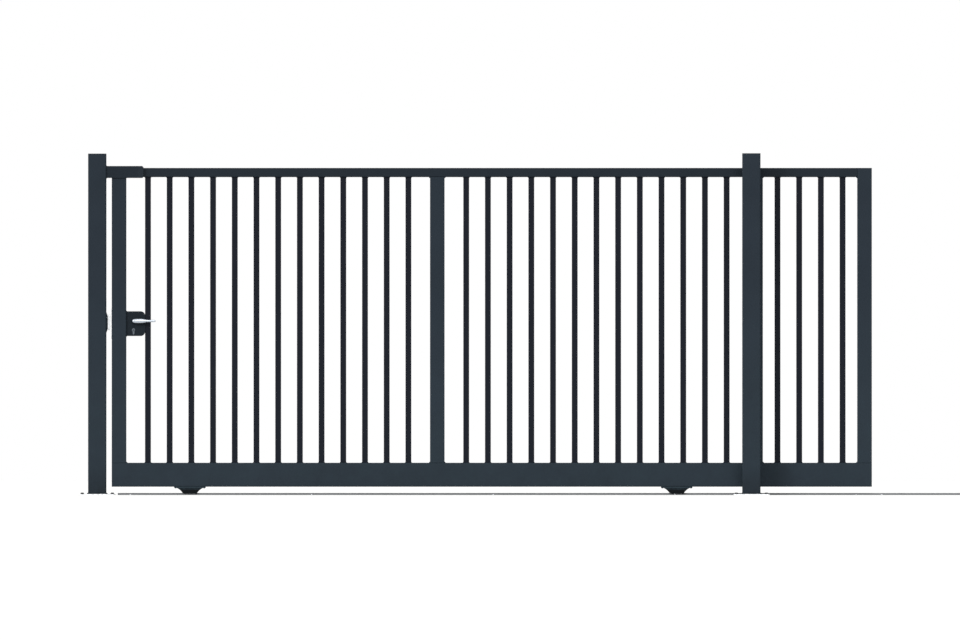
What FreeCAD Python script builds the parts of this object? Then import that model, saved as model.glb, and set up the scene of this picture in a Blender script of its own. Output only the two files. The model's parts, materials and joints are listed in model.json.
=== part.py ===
import FreeCAD, Part
import math
import os

# Sliding driveway gate: a barred leaf on two grooved wheels, its ground track, a receiving
# post with a keep and a top catch, and a guide post with a roller guide behind it.
# Millimetres. The origin is the centre of the receiving post's foot, on the ground.
# +X runs along the gate the way the leaf opens, -Y faces the street and +Z is up.

TUBE_INNER_CORNER = 1.0     # least inside corner of a hollow section

# Posts and their feet
PASSAGE = 3500.0            # clear width between the two posts
POST_SIDE = 100.0
POST_WALL = 3.0
POST_CORNER = 6.0
POST_HEIGHT = 1880.0        # ground to the top of the cap
CAP_THICK = 4.0
CAP_EDGE = 1.5              # rounding of the cap's rim
CAP_PLUG = 20.0             # how far the cap's plug reaches into the post
CAP_FIT = 0.3               # side clearance of the plug
FOOT_SIDE = 200.0
FOOT_THICK = 6.0
FOOT_CORNER = 12.0
ANCHOR_INSET = 17.0         # hole centre to the edge of the foot
ANCHOR_HOLE = 14.0

# Leaf
CLOSING_GAP = 30.0          # receiving post to the closed leaf
LEAF_BOTTOM = 46.0
LEAF_HEIGHT = 1755.0
LEAF_DEPTH = 60.0
FRAME_WALL = 3.0
FRAME_CORNER = 5.0
STILE = 80.0
TOP_RAIL = 50.0
BOTTOM_RAIL = 132.0
TAIL_BAY = 520.0            # clear width of the short bay behind the guide post
GUIDE_STILE_SHIFT = 24.6    # guide stile's centre, past the guide post's centre
END_CAP = 3.0
BAR = 32.0
BAR_WALL = 2.0
BAR_CORNER = 3.0
BAR_GAP = 87.5
POST_TO_LEAF = 70.0         # back of the guide post to the front of the leaf

# Top catch on the receiving post
CATCH_LENGTH = 204.0
CATCH_HEIGHT = 65.0
CATCH_RISE = 10.5           # above the top of the leaf
CATCH_PLATE = 5.0
CATCH_SIDE_GAP = 6.0        # each side of the leaf
CATCH_LIP = 30.0            # length of the flared mouth
CATCH_FLARE = 8.0
CATCH_CHAMFER = 6.0

# Lock, keep and lever
LEVER_HEIGHT = 958.6        # lever axis above the ground
LEVER_BACKSET = 40.0        # lever axis past the latch stile
CASE_HEIGHT = 136.0
CASE_DEPTH = 40.0
CASE_CORNER = 24.0
CASE_WALL = 3.0
CASE_DROP = 14.6            # centre of the case below the lever axis
CASE_BAR_GAP = 0.0          # case to the first bar
FOREND_HEIGHT = 168.0
FOREND_WIDTH = 24.0
FOREND_THICK = 2.5
FOREND_CORNER = 3.0
HOOK_MOUTH_HEIGHT = 62.0
HOOK_MOUTH_WIDTH = 12.0
KEEP_HEIGHT = 115.0
KEEP_DROP = 8.0             # centre of the keep below the lever axis
KEEP_PLATE = 8.0
KEEP_PLATE_WIDTH = 50.0
KEEP_TAPER = 24.0           # slope at each end of the keep plate
KEEP_REACH = 14.0           # keep box, out from its plate
KEEP_BOX_WIDTH = 34.0
KEEP_BOX_HEIGHT = 84.0
KEEP_BOX_CORNER = 3.0
LEVER_LENGTH = 121.0
LEVER_NECK = 18.0
LEVER_STANDOFF = 32.0       # case face to the middle of the grip
LEVER_FACE_GAP = 0.5
LEVER_BOSS = 24.0
LEVER_BOSS_DEPTH = 14.0
LEVER_TAPER = (             # reach along the lever, then height and thickness as shares of the boss
    (0.0, 0.96, 0.96),
    (0.12, 0.98, 0.95),
    (0.26, 1.0, 0.94),
    (0.38, 0.97, 0.92),
    (0.48, 0.84, 0.89),
    (0.57, 0.67, 0.86),
    (0.67, 0.58, 0.83),
    (0.8, 0.55, 0.78),
    (0.9, 0.51, 0.7),
    (0.96, 0.43, 0.58),
    (1.0, 0.28, 0.4),
)
SPINDLE = 8.0
SPINDLE_FIT = 0.1
SPINDLE_SOCKET = 18.0
SPINDLE_HOLE = 13.0
CYLINDER_DROP = 50.0        # round of the key cylinder below the lever axis
CYLINDER_ROUND = 17.0
CYLINDER_TAIL_WIDTH = 10.0
CYLINDER_HEIGHT = 33.0
CYLINDER_PROUD = 3.0
CYLINDER_FIT = 0.2

# Ground track
TRACK_WIDTH = 60.0
TRACK_BASE = 3.0
TRACK_RIB = 9.0             # radius of the half-round rib
TRACK_START = 13.0          # past the receiving post's foot
TRACK_JOINT = 16.0          # joint of the two lengths, short of the closed leaf's tail
TRACK_HOLE = 7.0
TRACK_HOLE_SPACING = 42.0   # across the track
TRACK_HOLE_PITCH = 1000.0
TRACK_HOLE_END = 70.0
TRACK_TAIL = 14.0           # track past the stop
STOP_LENGTH = 34.0
STOP_HEIGHT = 34.0          # passes under the carriage's flange
STOP_WIDTH = 44.0
STOP_CHAMFER = 8.0
STOP_GAP = 8.0              # cheeks of the open carriage to the stop
STOP_FIT = 0.3

# Wheels and their carriages
LEADING_WHEEL = 430.0       # wheel axis from the closing end of the leaf
TRAILING_WHEEL = 1074.0     # wheel axis from the tail end of the leaf
WHEEL_ROLL = 46.0           # rolling radius, at the bottom of the groove
WHEEL_FLANGE = 6.0          # depth of the groove
WHEEL_GROOVE = 10.0         # radius of the groove
WHEEL_SEAT = 0.3            # groove above the rib
WHEEL_RIM = 15.0            # radial depth of the rim
WHEEL_WEB = 8.0             # half thickness of the disc
WHEEL_HUB = 18.0            # radius of the hub
WHEEL_RIM_INSET = 2.0       # rim narrower than the hub, each side
WHEEL_EDGE = 1.0
AXLE = 16.0
AXLE_FIT = 0.05
AXLE_HEAD = 24.0
AXLE_HEAD_THICK = 5.0
AXLE_END_GAP = 1.0          # axle head to the inside of the rail
CHEEK = 5.0
CHEEK_SIDE_GAP = 0.5        # hub to cheek
CHEEK_TOP = 146.0           # width of a cheek under the flange
CHEEK_FOOT = 78.0           # width of a cheek at its lower edge
CHEEK_CURVE = 5.0           # hollow of its sloping sides
CHEEK_LOW = 10.5            # lower edge above the ground
CHEEK_TAB = 30.0            # half width of the tab that carries the axle
CHEEK_TAB_RISE = 18.0       # tab above the axle
FLANGE_LENGTH = 173.0
FLANGE_THICK = 6.5
FLANGE_OVERHANG = 5.0       # past each cheek
FLANGE_CORNER = 6.0
WHEEL_SLOT_GAP = 6.0        # wheel to the ends of its slot
RAIL_SLOT_GAP = 2.0         # cheek to the sides of the slot in the rail

# Roller guide on the back of the guide post
ARM_WIDTH = 90.0
ARM_THICK = 6.0
ARM_LEG = 140.0
ARM_RISE = 34.0             # underside of the arm above the leaf
ARM_END = 28.0              # arm past the far roller's axis
ARM_BEND = 9.0
ROLLER = 20.0
ROLLER_HEIGHT = 40.0
ROLLER_GAP = 0.5            # roller to the leaf
ROLLER_EDGE = 2.0
BOLT = 6.0
BOLT_HEAD = 11.0
BOLT_HEAD_THICK = 8.0
BOLT_SHOULDER = 9.0
BOLT_FIT = 0.3
BOLT_NUT = 10.0
BOLT_NUT_THICK = 10.0

# Places that follow from the sizes
Vector = FreeCAD.Vector
UP = Vector(0, 0, 1)
ACROSS = Vector(0, 1, 0)
ALONG = Vector(1, 0, 0)
post_face = POST_SIDE / 2
guide_post_x = PASSAGE + POST_SIDE
guide_post_y = -(LEAF_DEPTH / 2 + POST_TO_LEAF + POST_SIDE / 2)
leaf_start = post_face + CLOSING_GAP
leaf_top = LEAF_BOTTOM + LEAF_HEIGHT
bars_low = LEAF_BOTTOM + BOTTOM_RAIL
bars_high = leaf_top - TOP_RAIL
latch_stile_end = leaf_start + STILE
guide_stile_x = guide_post_x + GUIDE_STILE_SHIFT - STILE / 2
bay_width = (guide_stile_x - latch_stile_end - STILE) / 2
middle_stile_x = latch_stile_end + bay_width
tail_stile_x = guide_stile_x + STILE + TAIL_BAY
leaf_end = tail_stile_x + STILE
leaf_travel = PASSAGE - CLOSING_GAP
lever_x = latch_stile_end + LEVER_BACKSET
case_z = LEVER_HEIGHT - CASE_DROP
keep_z = LEVER_HEIGHT - KEEP_DROP
track_top = TRACK_BASE + TRACK_RIB
track_x = FOOT_SIDE / 2 + TRACK_START
track_joint_x = leaf_end - TRACK_JOINT
axle_z = track_top + WHEEL_SEAT + WHEEL_ROLL
leading_x = leaf_start + LEADING_WHEEL
trailing_x = leaf_end - TRAILING_WHEEL
stop_x = trailing_x + leaf_travel + CHEEK_TOP / 2 + STOP_GAP
track_end = stop_x + STOP_LENGTH + TRACK_TAIL
axle_half = LEAF_DEPTH / 2 - FRAME_WALL - AXLE_END_GAP
cheek_outer = axle_half - AXLE_HEAD_THICK
cheek_inner = cheek_outer - CHEEK
hub_half = cheek_inner - CHEEK_SIDE_GAP
wheel_outer = WHEEL_ROLL + WHEEL_FLANGE
arm_z = leaf_top + ARM_RISE
roller_y = LEAF_DEPTH / 2 + ROLLER_GAP + ROLLER


def moved(shape, x, y, z):
    """The shape itself, shifted."""
    shape.translate(Vector(x, y, z))
    return shape


def block(x0, x1, y0, y1, z0, z1):
    """A box between two corners."""
    return Part.makeBox(x1 - x0, y1 - y0, z1 - z0, Vector(x0, y0, z0))


def prism(points, direction):
    """A closed outline of points, extruded."""
    outline = Part.makePolygon(points + points[:1])
    return Part.Face(outline).extrude(direction)


def edged_prism(edges, direction):
    """A closed outline of edges in order, extruded."""
    return Part.Face(Part.Wire(edges)).extrude(direction)


def turned(edges, axis_point, axis):
    """A closed half section, revolved a full turn."""
    return Part.Face(Part.Wire(edges)).revolve(axis_point, axis, 360)


def lines(points):
    """Straight edges through the points, not closed."""
    return [Part.makeLine(a, b) for a, b in zip(points[:-1], points[1:])]


def arc(start, middle, end):
    """An edge on the circle through three points."""
    return Part.Arc(start, middle, end).toShape()


def rounded_rectangle(width, depth, corner):
    """Outline about the origin in the XY plane, with round corners."""
    x = width / 2 - corner
    y = depth / 2 - corner
    corners = [
        Part.makeCircle(corner, Vector(cx, cy, 0), UP, turn, turn + 90)
        for cx, cy, turn in ((x, y, 0), (-x, y, 90), (-x, -y, 180), (x, -y, 270))
    ]
    edges = []
    for here, following in zip(corners, corners[1:] + corners[:1]):
        edges.append(here)
        end = here.valueAt(here.LastParameter)
        edges.append(Part.makeLine(end, following.valueAt(following.FirstParameter)))
    return Part.Wire(edges)


def plate(width, depth, corner, thickness):
    """A flat plate on the XY plane with round corners."""
    return Part.Face(rounded_rectangle(width, depth, corner)).extrude(UP * thickness)


def tube(width, depth, wall, corner, length):
    """A hollow section about the Z axis, standing on the XY plane."""
    outside = plate(width, depth, corner, length)
    inside = plate(width - 2 * wall, depth - 2 * wall, max(corner - wall, TUBE_INNER_CORNER), length)
    return outside.cut(inside)


def post_tube(x, y):
    """Square post between its foot plate and its cap."""
    length = POST_HEIGHT - FOOT_THICK - CAP_THICK
    return moved(tube(POST_SIDE, POST_SIDE, POST_WALL, POST_CORNER, length), x, y, FOOT_THICK)


def post_cap(x, y):
    """Flat cap with a hollow plug inside the post."""
    top = plate(POST_SIDE, POST_SIDE, POST_CORNER, CAP_THICK)
    rim = [edge for edge in top.Edges if edge.BoundBox.ZMin > CAP_THICK / 2]
    top = top.makeFillet(CAP_EDGE, rim)
    side = POST_SIDE - 2 * POST_WALL - 2 * CAP_FIT
    plug = moved(tube(side, side, POST_WALL, POST_CORNER - POST_WALL, CAP_PLUG), 0, 0, -CAP_PLUG)
    return moved(top.fuse(plug).removeSplitter(), x, y, POST_HEIGHT - CAP_THICK)


def post_foot(x, y):
    """Foot plate with four anchor holes."""
    foot = plate(FOOT_SIDE, FOOT_SIDE, FOOT_CORNER, FOOT_THICK)
    reach = FOOT_SIDE / 2 - ANCHOR_INSET
    for hole_x in (-reach, reach):
        for hole_y in (-reach, reach):
            foot = foot.cut(Part.makeCylinder(ANCHOR_HOLE / 2, FOOT_THICK, Vector(hole_x, hole_y, 0)))
    return moved(foot, x, y, 0)


def top_catch():
    """Channel on the receiving post that holds the leaf's top corner, open upwards and flared."""
    near = post_face + CATCH_PLATE
    far = post_face + CATCH_LENGTH
    bend = far - CATCH_LIP
    inner = LEAF_DEPTH / 2 + CATCH_SIDE_GAP
    outer = inner + CATCH_PLATE
    lip = CATCH_PLATE / math.cos(math.atan2(CATCH_FLARE, CATCH_LIP))
    inner_bend = far - (outer + CATCH_FLARE - lip - inner) * CATCH_LIP / CATCH_FLARE
    half = [
        (post_face, outer),
        (bend, outer),
        (far, outer + CATCH_FLARE),
        (far, outer + CATCH_FLARE - lip),
        (inner_bend, inner),
        (near, inner),
    ]
    low = leaf_top + CATCH_RISE - CATCH_HEIGHT
    high = leaf_top + CATCH_RISE
    plan = [Vector(x, -y, low) for x, y in half] + [Vector(x, y, low) for x, y in reversed(half)]
    channel = prism(plan, UP * CATCH_HEIGHT)
    span = 2 * (outer + CATCH_FLARE)
    cut = CATCH_CHAMFER
    front = [
        (post_face, low),
        (far - cut, low),
        (far, low + cut),
        (far, high - cut),
        (far - cut, high),
        (post_face, high),
    ]
    return channel.common(prism([Vector(x, -span / 2, z) for x, z in front], ACROSS * span))


def keep_plate():
    """Plate with sloping ends on the receiving post, under the keep."""
    low = keep_z - KEEP_HEIGHT / 2
    high = keep_z + KEEP_HEIGHT / 2
    side = [
        (post_face, low),
        (post_face + KEEP_PLATE, low + KEEP_TAPER),
        (post_face + KEEP_PLATE, high - KEEP_TAPER),
        (post_face, high),
    ]
    solid = prism([Vector(x, -KEEP_PLATE_WIDTH / 2, z) for x, z in side], ACROSS * KEEP_PLATE_WIDTH)
    return solid.cut(hook_mouth(post_face, post_face + KEEP_PLATE))


def hook_mouth(x0, x1):
    """Space for the hook of the lock, along X."""
    half = HOOK_MOUTH_WIDTH / 2
    return block(x0, x1, -half, half, keep_z - HOOK_MOUTH_HEIGHT / 2, keep_z + HOOK_MOUTH_HEIGHT / 2)


def lock_keep():
    """Open box on the keep plate that the hook enters."""
    near = post_face + KEEP_PLATE
    length = KEEP_REACH
    box = plate(KEEP_BOX_HEIGHT, KEEP_BOX_WIDTH, KEEP_BOX_CORNER, length)
    box.rotate(Vector(0, 0, 0), ACROSS, 90)
    box = moved(box, near, 0, keep_z)
    return box.cut(hook_mouth(near, near + length))


def upright(x0, z0, z1):
    """One stile of the leaf."""
    return moved(tube(STILE, LEAF_DEPTH, FRAME_WALL, FRAME_CORNER, z1 - z0), x0 + STILE / 2, 0, z0)


def level(x0, x1, z0, height):
    """One rail of the leaf."""
    rail = tube(height, LEAF_DEPTH, FRAME_WALL, FRAME_CORNER, x1 - x0)
    rail.rotate(Vector(0, 0, 0), ACROSS, 90)
    return moved(rail, x0, 0, z0 + height / 2)


def latch_stile():
    """Closing stile, with the mouth of the lock in its outer wall."""
    stile = upright(leaf_start, bars_low, leaf_top - END_CAP)
    return stile.cut(hook_mouth(leaf_start, leaf_start + FRAME_WALL))


def bottom_rail():
    """Deep rail with a slot in its underside for each wheel carriage."""
    rail = level(leaf_start + END_CAP, leaf_end - END_CAP, LEAF_BOTTOM, BOTTOM_RAIL)
    half_length = wheel_outer + WHEEL_SLOT_GAP
    half_width = cheek_outer + RAIL_SLOT_GAP
    notch_length = AXLE_HEAD / 2 + RAIL_SLOT_GAP
    notch_width = axle_half + AXLE_END_GAP / 2
    high = LEAF_BOTTOM + FRAME_CORNER
    for x in (leading_x, trailing_x):
        slot = block(x - half_length, x + half_length, -half_width, half_width, LEAF_BOTTOM, high)
        notch = block(x - notch_length, x + notch_length, -notch_width, notch_width, LEAF_BOTTOM, high)
        rail = rail.cut([slot, notch])
    return rail


def rail_end_caps():
    """Closing plates on both ends of the bottom rail."""
    caps = []
    for x in (leaf_start, leaf_end - END_CAP):
        cap = plate(BOTTOM_RAIL, LEAF_DEPTH, FRAME_CORNER, END_CAP)
        cap.rotate(Vector(0, 0, 0), ACROSS, 90)
        caps.append(moved(cap, x, 0, LEAF_BOTTOM + BOTTOM_RAIL / 2))
    return Part.Compound(caps)


def stile_top_caps():
    """Closing plates on top of the two end stiles."""
    return Part.Compound([
        moved(plate(STILE, LEAF_DEPTH, FRAME_CORNER, END_CAP), x + STILE / 2, 0, leaf_top - END_CAP)
        for x in (leaf_start, tail_stile_x)
    ])


def bar_centres(x0, x1):
    """Even places for the bars of a bay, with an end gap of half a pitch to one pitch."""
    pitch = BAR + BAR_GAP
    count = max(1, math.floor((x1 - x0 + BAR_GAP) / pitch) - 1)
    first = (x0 + x1) / 2 - pitch * (count - 1) / 2
    return [first + pitch * step for step in range(count)]


def bay_bars(x0, x1):
    """Upright bars of one bay, between the two rails."""
    return Part.Compound([
        moved(tube(BAR, BAR, BAR_WALL, BAR_CORNER, bars_high - bars_low), x, 0, bars_low)
        for x in bar_centres(x0, x1)
    ])


def cylinder_section(margin):
    """Outline of the key cylinder in the XZ plane, round above and with a narrow tail below."""
    z = LEVER_HEIGHT - CYLINDER_DROP
    radius = CYLINDER_ROUND / 2 + margin
    tail = CYLINDER_TAIL_WIDTH / 2 + margin
    low = z + radius - CYLINDER_HEIGHT - 2 * margin
    shoulder = z - math.sqrt(radius ** 2 - tail ** 2)
    right = Vector(lever_x + tail, 0, shoulder)
    left = Vector(lever_x - tail, 0, shoulder)
    right_low = Vector(lever_x + tail, 0, low + tail)
    left_low = Vector(lever_x - tail, 0, low + tail)
    return [
        arc(right, Vector(lever_x, 0, z + radius), left),
        Part.makeLine(left, left_low),
        arc(left_low, Vector(lever_x, 0, low), right_low),
        Part.makeLine(right_low, right),
    ]


def cylinder_prism(margin, length):
    """Key cylinder's section, through the lock from side to side."""
    return moved(edged_prism(cylinder_section(margin), ACROSS * length), 0, -length / 2, 0)


def case_outline(x0, x1, half, corner, y, depth):
    """Lock case shape, square against the stile and round at its free corners."""
    low = case_z - half
    high = case_z + half
    bow = corner * (1 - math.sqrt(0.5))
    edges = lines([Vector(x0, y, high), Vector(x0, y, low), Vector(x1 - corner, y, low)])
    edges.append(arc(Vector(x1 - corner, y, low), Vector(x1 - bow, y, low + bow),
                     Vector(x1, y, low + corner)))
    edges += lines([Vector(x1, y, low + corner), Vector(x1, y, high - corner)])
    edges.append(arc(Vector(x1, y, high - corner), Vector(x1 - bow, y, high - bow),
                     Vector(x1 - corner, y, high)))
    edges += lines([Vector(x1 - corner, y, high), Vector(x0, y, high)])
    return edged_prism(edges, ACROSS * depth)


def lock_case():
    """Hollow lock case welded into the gap between the latch stile and the first bar."""
    far = bar_centres(latch_stile_end, middle_stile_x)[0] - BAR / 2 - CASE_BAR_GAP
    case = case_outline(latch_stile_end, far, CASE_HEIGHT / 2, CASE_CORNER, -CASE_DEPTH / 2, CASE_DEPTH)
    inside = case_outline(latch_stile_end + CASE_WALL, far - CASE_WALL, CASE_HEIGHT / 2 - CASE_WALL,
                          CASE_CORNER - CASE_WALL, -CASE_DEPTH / 2 + CASE_WALL, CASE_DEPTH - 2 * CASE_WALL)
    spindle_face = Vector(lever_x, -CASE_DEPTH / 2, LEVER_HEIGHT)
    spindle_hole = Part.makeCylinder(SPINDLE_HOLE / 2, CASE_DEPTH, spindle_face, ACROSS)
    case = case.cut(inside).cut(spindle_hole)
    return case.cut(cylinder_prism(CYLINDER_FIT, CASE_DEPTH))


def lock_forend():
    """Face plate of the lock on the closing edge, with the hook's mouth."""
    face = plate(FOREND_HEIGHT, FOREND_WIDTH, FOREND_CORNER, FOREND_THICK)
    face.rotate(Vector(0, 0, 0), ACROSS, 90)
    face = moved(face, leaf_start - FOREND_THICK, 0, case_z)
    return face.cut(hook_mouth(leaf_start - FOREND_THICK, leaf_start))


def ellipse_wire(x, y, z, height, thickness):
    """Upright oval in the YZ plane."""
    oval = Part.Ellipse(Vector(x, y, z + height / 2), Vector(x, y + thickness / 2, z), Vector(x, y, z))
    return Part.Wire(oval.toShape())


def lever():
    """Lever on the street side, with a neck towards the lock and a tapering grip."""
    face = -(CASE_DEPTH / 2 + LEVER_FACE_GAP)
    grip_y = -(CASE_DEPTH / 2 + LEVER_STANDOFF)
    sections = [
        ellipse_wire(lever_x + reach * LEVER_LENGTH, grip_y, LEVER_HEIGHT, tall * LEVER_BOSS,
                     thick * LEVER_BOSS_DEPTH)
        for reach, tall, thick in LEVER_TAPER
    ]
    grip = Part.makeLoft(sections, True, False)
    boss_face = Vector(lever_x, grip_y - LEVER_BOSS_DEPTH / 2, LEVER_HEIGHT)
    boss = Part.makeCylinder(LEVER_BOSS / 2, LEVER_BOSS_DEPTH, boss_face, ACROSS)
    neck = Part.makeCylinder(LEVER_NECK / 2, face - grip_y, Vector(lever_x, grip_y, LEVER_HEIGHT), ACROSS)
    body = boss.fuse([neck, grip])
    socket = SPINDLE / 2 + SPINDLE_FIT
    hole = block(lever_x - socket, lever_x + socket, face - SPINDLE_SOCKET, face,
                 LEVER_HEIGHT - socket, LEVER_HEIGHT + socket)
    return body.cut(hole).removeSplitter()


def lever_spindle():
    """Square spindle through the lock, from lever to lever."""
    reach = CASE_DEPTH / 2 + LEVER_FACE_GAP + SPINDLE_SOCKET
    half = SPINDLE / 2
    return block(lever_x - half, lever_x + half, -reach, reach, LEVER_HEIGHT - half, LEVER_HEIGHT + half)


def track(x0, x1):
    """Flat track with a half-round rib and pairs of screw holes."""
    half = TRACK_WIDTH / 2
    foot = [
        Vector(x0, -TRACK_RIB, TRACK_BASE),
        Vector(x0, -half, TRACK_BASE),
        Vector(x0, -half, 0),
        Vector(x0, half, 0),
        Vector(x0, half, TRACK_BASE),
        Vector(x0, TRACK_RIB, TRACK_BASE),
    ]
    rib = arc(foot[-1], Vector(x0, 0, track_top), foot[0])
    solid = edged_prism(lines(foot) + [rib], ALONG * (x1 - x0))
    spans = max(1, round((x1 - x0 - 2 * TRACK_HOLE_END) / TRACK_HOLE_PITCH))
    step = (x1 - x0 - 2 * TRACK_HOLE_END) / spans
    for number in range(spans + 1):
        for y in (-TRACK_HOLE_SPACING / 2, TRACK_HOLE_SPACING / 2):
            place = Vector(x0 + TRACK_HOLE_END + step * number, y, 0)
            solid = solid.cut(Part.makeCylinder(TRACK_HOLE / 2, TRACK_BASE, place))
    return solid


def track_stop():
    """Block astride the rib that ends the travel of the open leaf."""
    half = STOP_WIDTH / 2
    cut = STOP_CHAMFER
    side = [
        (stop_x, TRACK_BASE),
        (stop_x, STOP_HEIGHT),
        (stop_x + STOP_LENGTH - cut, STOP_HEIGHT),
        (stop_x + STOP_LENGTH, STOP_HEIGHT - cut),
        (stop_x + STOP_LENGTH, TRACK_BASE),
    ]
    solid = prism([Vector(x, -half, z) for x, z in side], ACROSS * STOP_WIDTH)
    rib = Part.makeCylinder(TRACK_RIB + STOP_FIT, STOP_LENGTH, Vector(stop_x, 0, TRACK_BASE), ALONG)
    return solid.cut(rib)


def cheek(x, y0):
    """One side plate of a carriage: hollow-sided below the flange, a tab with the axle above."""
    top = LEAF_BOTTOM - FLANGE_THICK
    wide = CHEEK_TOP / 2
    narrow = CHEEK_FOOT / 2
    middle = (wide + narrow) / 2 - CHEEK_CURVE
    mid_z = (top + CHEEK_LOW) / 2
    tab_top = axle_z + CHEEK_TAB_RISE
    low_left = Vector(x - narrow, y0, CHEEK_LOW)
    low_right = Vector(x + narrow, y0, CHEEK_LOW)
    right = Vector(x + wide, y0, top)
    left = Vector(x - wide, y0, top)
    tab_right = Vector(x + CHEEK_TAB, y0, top)
    tab_left = Vector(x - CHEEK_TAB, y0, top)
    shoulder_right = Vector(x + CHEEK_TAB, y0, axle_z)
    shoulder_left = Vector(x - CHEEK_TAB, y0, axle_z)
    edges = [
        Part.makeLine(low_left, low_right),
        arc(low_right, Vector(x + middle, y0, mid_z), right),
        Part.makeLine(right, tab_right),
        Part.makeLine(tab_right, shoulder_right),
        arc(shoulder_right, Vector(x, y0, tab_top), shoulder_left),
        Part.makeLine(shoulder_left, tab_left),
        Part.makeLine(tab_left, left),
        arc(left, Vector(x - middle, y0, mid_z), low_left),
    ]
    return edged_prism(edges, ACROSS * CHEEK)


def carriage(x):
    """Wheel carriage: a slotted flange under the rail and two cheeks, in one welded piece."""
    flange = plate(FLANGE_LENGTH, 2 * (cheek_outer + FLANGE_OVERHANG), FLANGE_CORNER, FLANGE_THICK)
    flange = moved(flange, x, 0, LEAF_BOTTOM - FLANGE_THICK)
    half = wheel_outer + WHEEL_SLOT_GAP
    slot = block(x - half, x + half, -cheek_inner, cheek_inner, LEAF_BOTTOM - FLANGE_THICK, LEAF_BOTTOM)
    flange = flange.cut(slot)
    body = flange.fuse([cheek(x, cheek_inner), cheek(x, -cheek_outer)])
    bore = Part.makeCylinder(AXLE / 2 + AXLE_FIT, 2 * cheek_outer, Vector(x, -cheek_outer, axle_z), ACROSS)
    return body.cut(bore).removeSplitter()


def axle(x):
    """Headed pin through both cheeks."""
    pin = Part.makeCylinder(AXLE / 2, 2 * axle_half, Vector(x, -axle_half, axle_z), ACROSS)
    for y in (-axle_half, cheek_outer):
        pin = pin.fuse(Part.makeCylinder(AXLE_HEAD / 2, AXLE_HEAD_THICK, Vector(x, y, axle_z), ACROSS))
    return pin.removeSplitter()


def wheel(x):
    """Grooved wheel: hub, disc and rim turned about the axle."""
    rim_half = hub_half - WHEEL_RIM_INSET
    rim_inner = wheel_outer - WHEEL_RIM
    lip = math.sqrt(WHEEL_GROOVE ** 2 - (WHEEL_GROOVE - WHEEL_FLANGE) ** 2)
    edge = WHEEL_EDGE
    half = [
        (hub_half, AXLE / 2 + AXLE_FIT),
        (hub_half, WHEEL_HUB - edge),
        (hub_half - edge, WHEEL_HUB),
        (WHEEL_WEB, WHEEL_HUB),
        (WHEEL_WEB, rim_inner),
        (rim_half - edge, rim_inner),
        (rim_half, rim_inner + edge),
        (rim_half, wheel_outer - edge),
        (rim_half - edge, wheel_outer),
        (lip, wheel_outer),
    ]
    right = [Vector(x, y, axle_z + radius) for y, radius in half]
    left = [Vector(x, -y, axle_z + radius) for y, radius in reversed(half)]
    groove = arc(right[-1], Vector(x, 0, axle_z + WHEEL_ROLL), left[0])
    edges = lines(right) + [groove] + lines(left) + lines([left[-1], right[0]])
    return turned(edges, Vector(x, 0, axle_z), ACROSS)


def guide_arm():
    """Bent plate on the back of the guide post that reaches over the leaf."""
    back = guide_post_y + POST_SIDE / 2
    inner = back + ARM_THICK
    far = roller_y + ARM_END
    top = arm_z + ARM_THICK
    low = top - ARM_LEG
    x0 = guide_post_x - ARM_WIDTH / 2
    small = ARM_BEND - ARM_THICK
    bow = 1 - math.sqrt(0.5)
    edges = lines([Vector(x0, inner, arm_z - small), Vector(x0, inner, low), Vector(x0, back, low),
                   Vector(x0, back, top - ARM_BEND)])
    edges.append(arc(Vector(x0, back, top - ARM_BEND),
                     Vector(x0, back + ARM_BEND * bow, top - ARM_BEND * bow),
                     Vector(x0, back + ARM_BEND, top)))
    edges += lines([Vector(x0, back + ARM_BEND, top), Vector(x0, far, top), Vector(x0, far, arm_z),
                    Vector(x0, inner + small, arm_z)])
    edges.append(arc(Vector(x0, inner + small, arm_z), Vector(x0, inner + small * bow, arm_z - small * bow),
                     Vector(x0, inner, arm_z - small)))
    arm = edged_prism(edges, ALONG * ARM_WIDTH)
    for y in (-roller_y, roller_y):
        arm = arm.cut(Part.makeCylinder(BOLT + BOLT_FIT, ARM_THICK, Vector(guide_post_x, y, arm_z)))
    return arm


def spun_outline(half, y):
    """Radius and height pairs about an upright axis through the guide arm, turned to a solid."""
    points = [Vector(guide_post_x + radius, y, z) for radius, z in half]
    return turned(lines(points + points[:1]), Vector(guide_post_x, y, 0), UP)


def guide_rollers():
    """Upright rollers on both sides of the top rail."""
    low = leaf_top - TOP_RAIL / 2 - ROLLER_HEIGHT / 2
    high = low + ROLLER_HEIGHT
    bore = BOLT + BOLT_FIT
    half = [
        (bore, low),
        (ROLLER - ROLLER_EDGE, low),
        (ROLLER, low + ROLLER_EDGE),
        (ROLLER, high - ROLLER_EDGE),
        (ROLLER - ROLLER_EDGE, high),
        (bore, high),
    ]
    return Part.Compound([spun_outline(half, y) for y in (-roller_y, roller_y)])


def guide_roller_bolts():
    """Shoulder bolts that hang the rollers under the arm."""
    low = leaf_top - TOP_RAIL / 2 - ROLLER_HEIGHT / 2
    high = low + ROLLER_HEIGHT
    top = arm_z + ARM_THICK
    half = [
        (0, low - BOLT_HEAD_THICK),
        (BOLT_HEAD, low - BOLT_HEAD_THICK),
        (BOLT_HEAD, low),
        (BOLT, low),
        (BOLT, high),
        (BOLT_SHOULDER, high),
        (BOLT_SHOULDER, arm_z),
        (BOLT, arm_z),
        (BOLT, top),
        (BOLT_NUT, top),
        (BOLT_NUT, top + BOLT_NUT_THICK),
        (0, top + BOLT_NUT_THICK),
    ]
    return Part.Compound([spun_outline(half, y) for y in (-roller_y, roller_y)])


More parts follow.
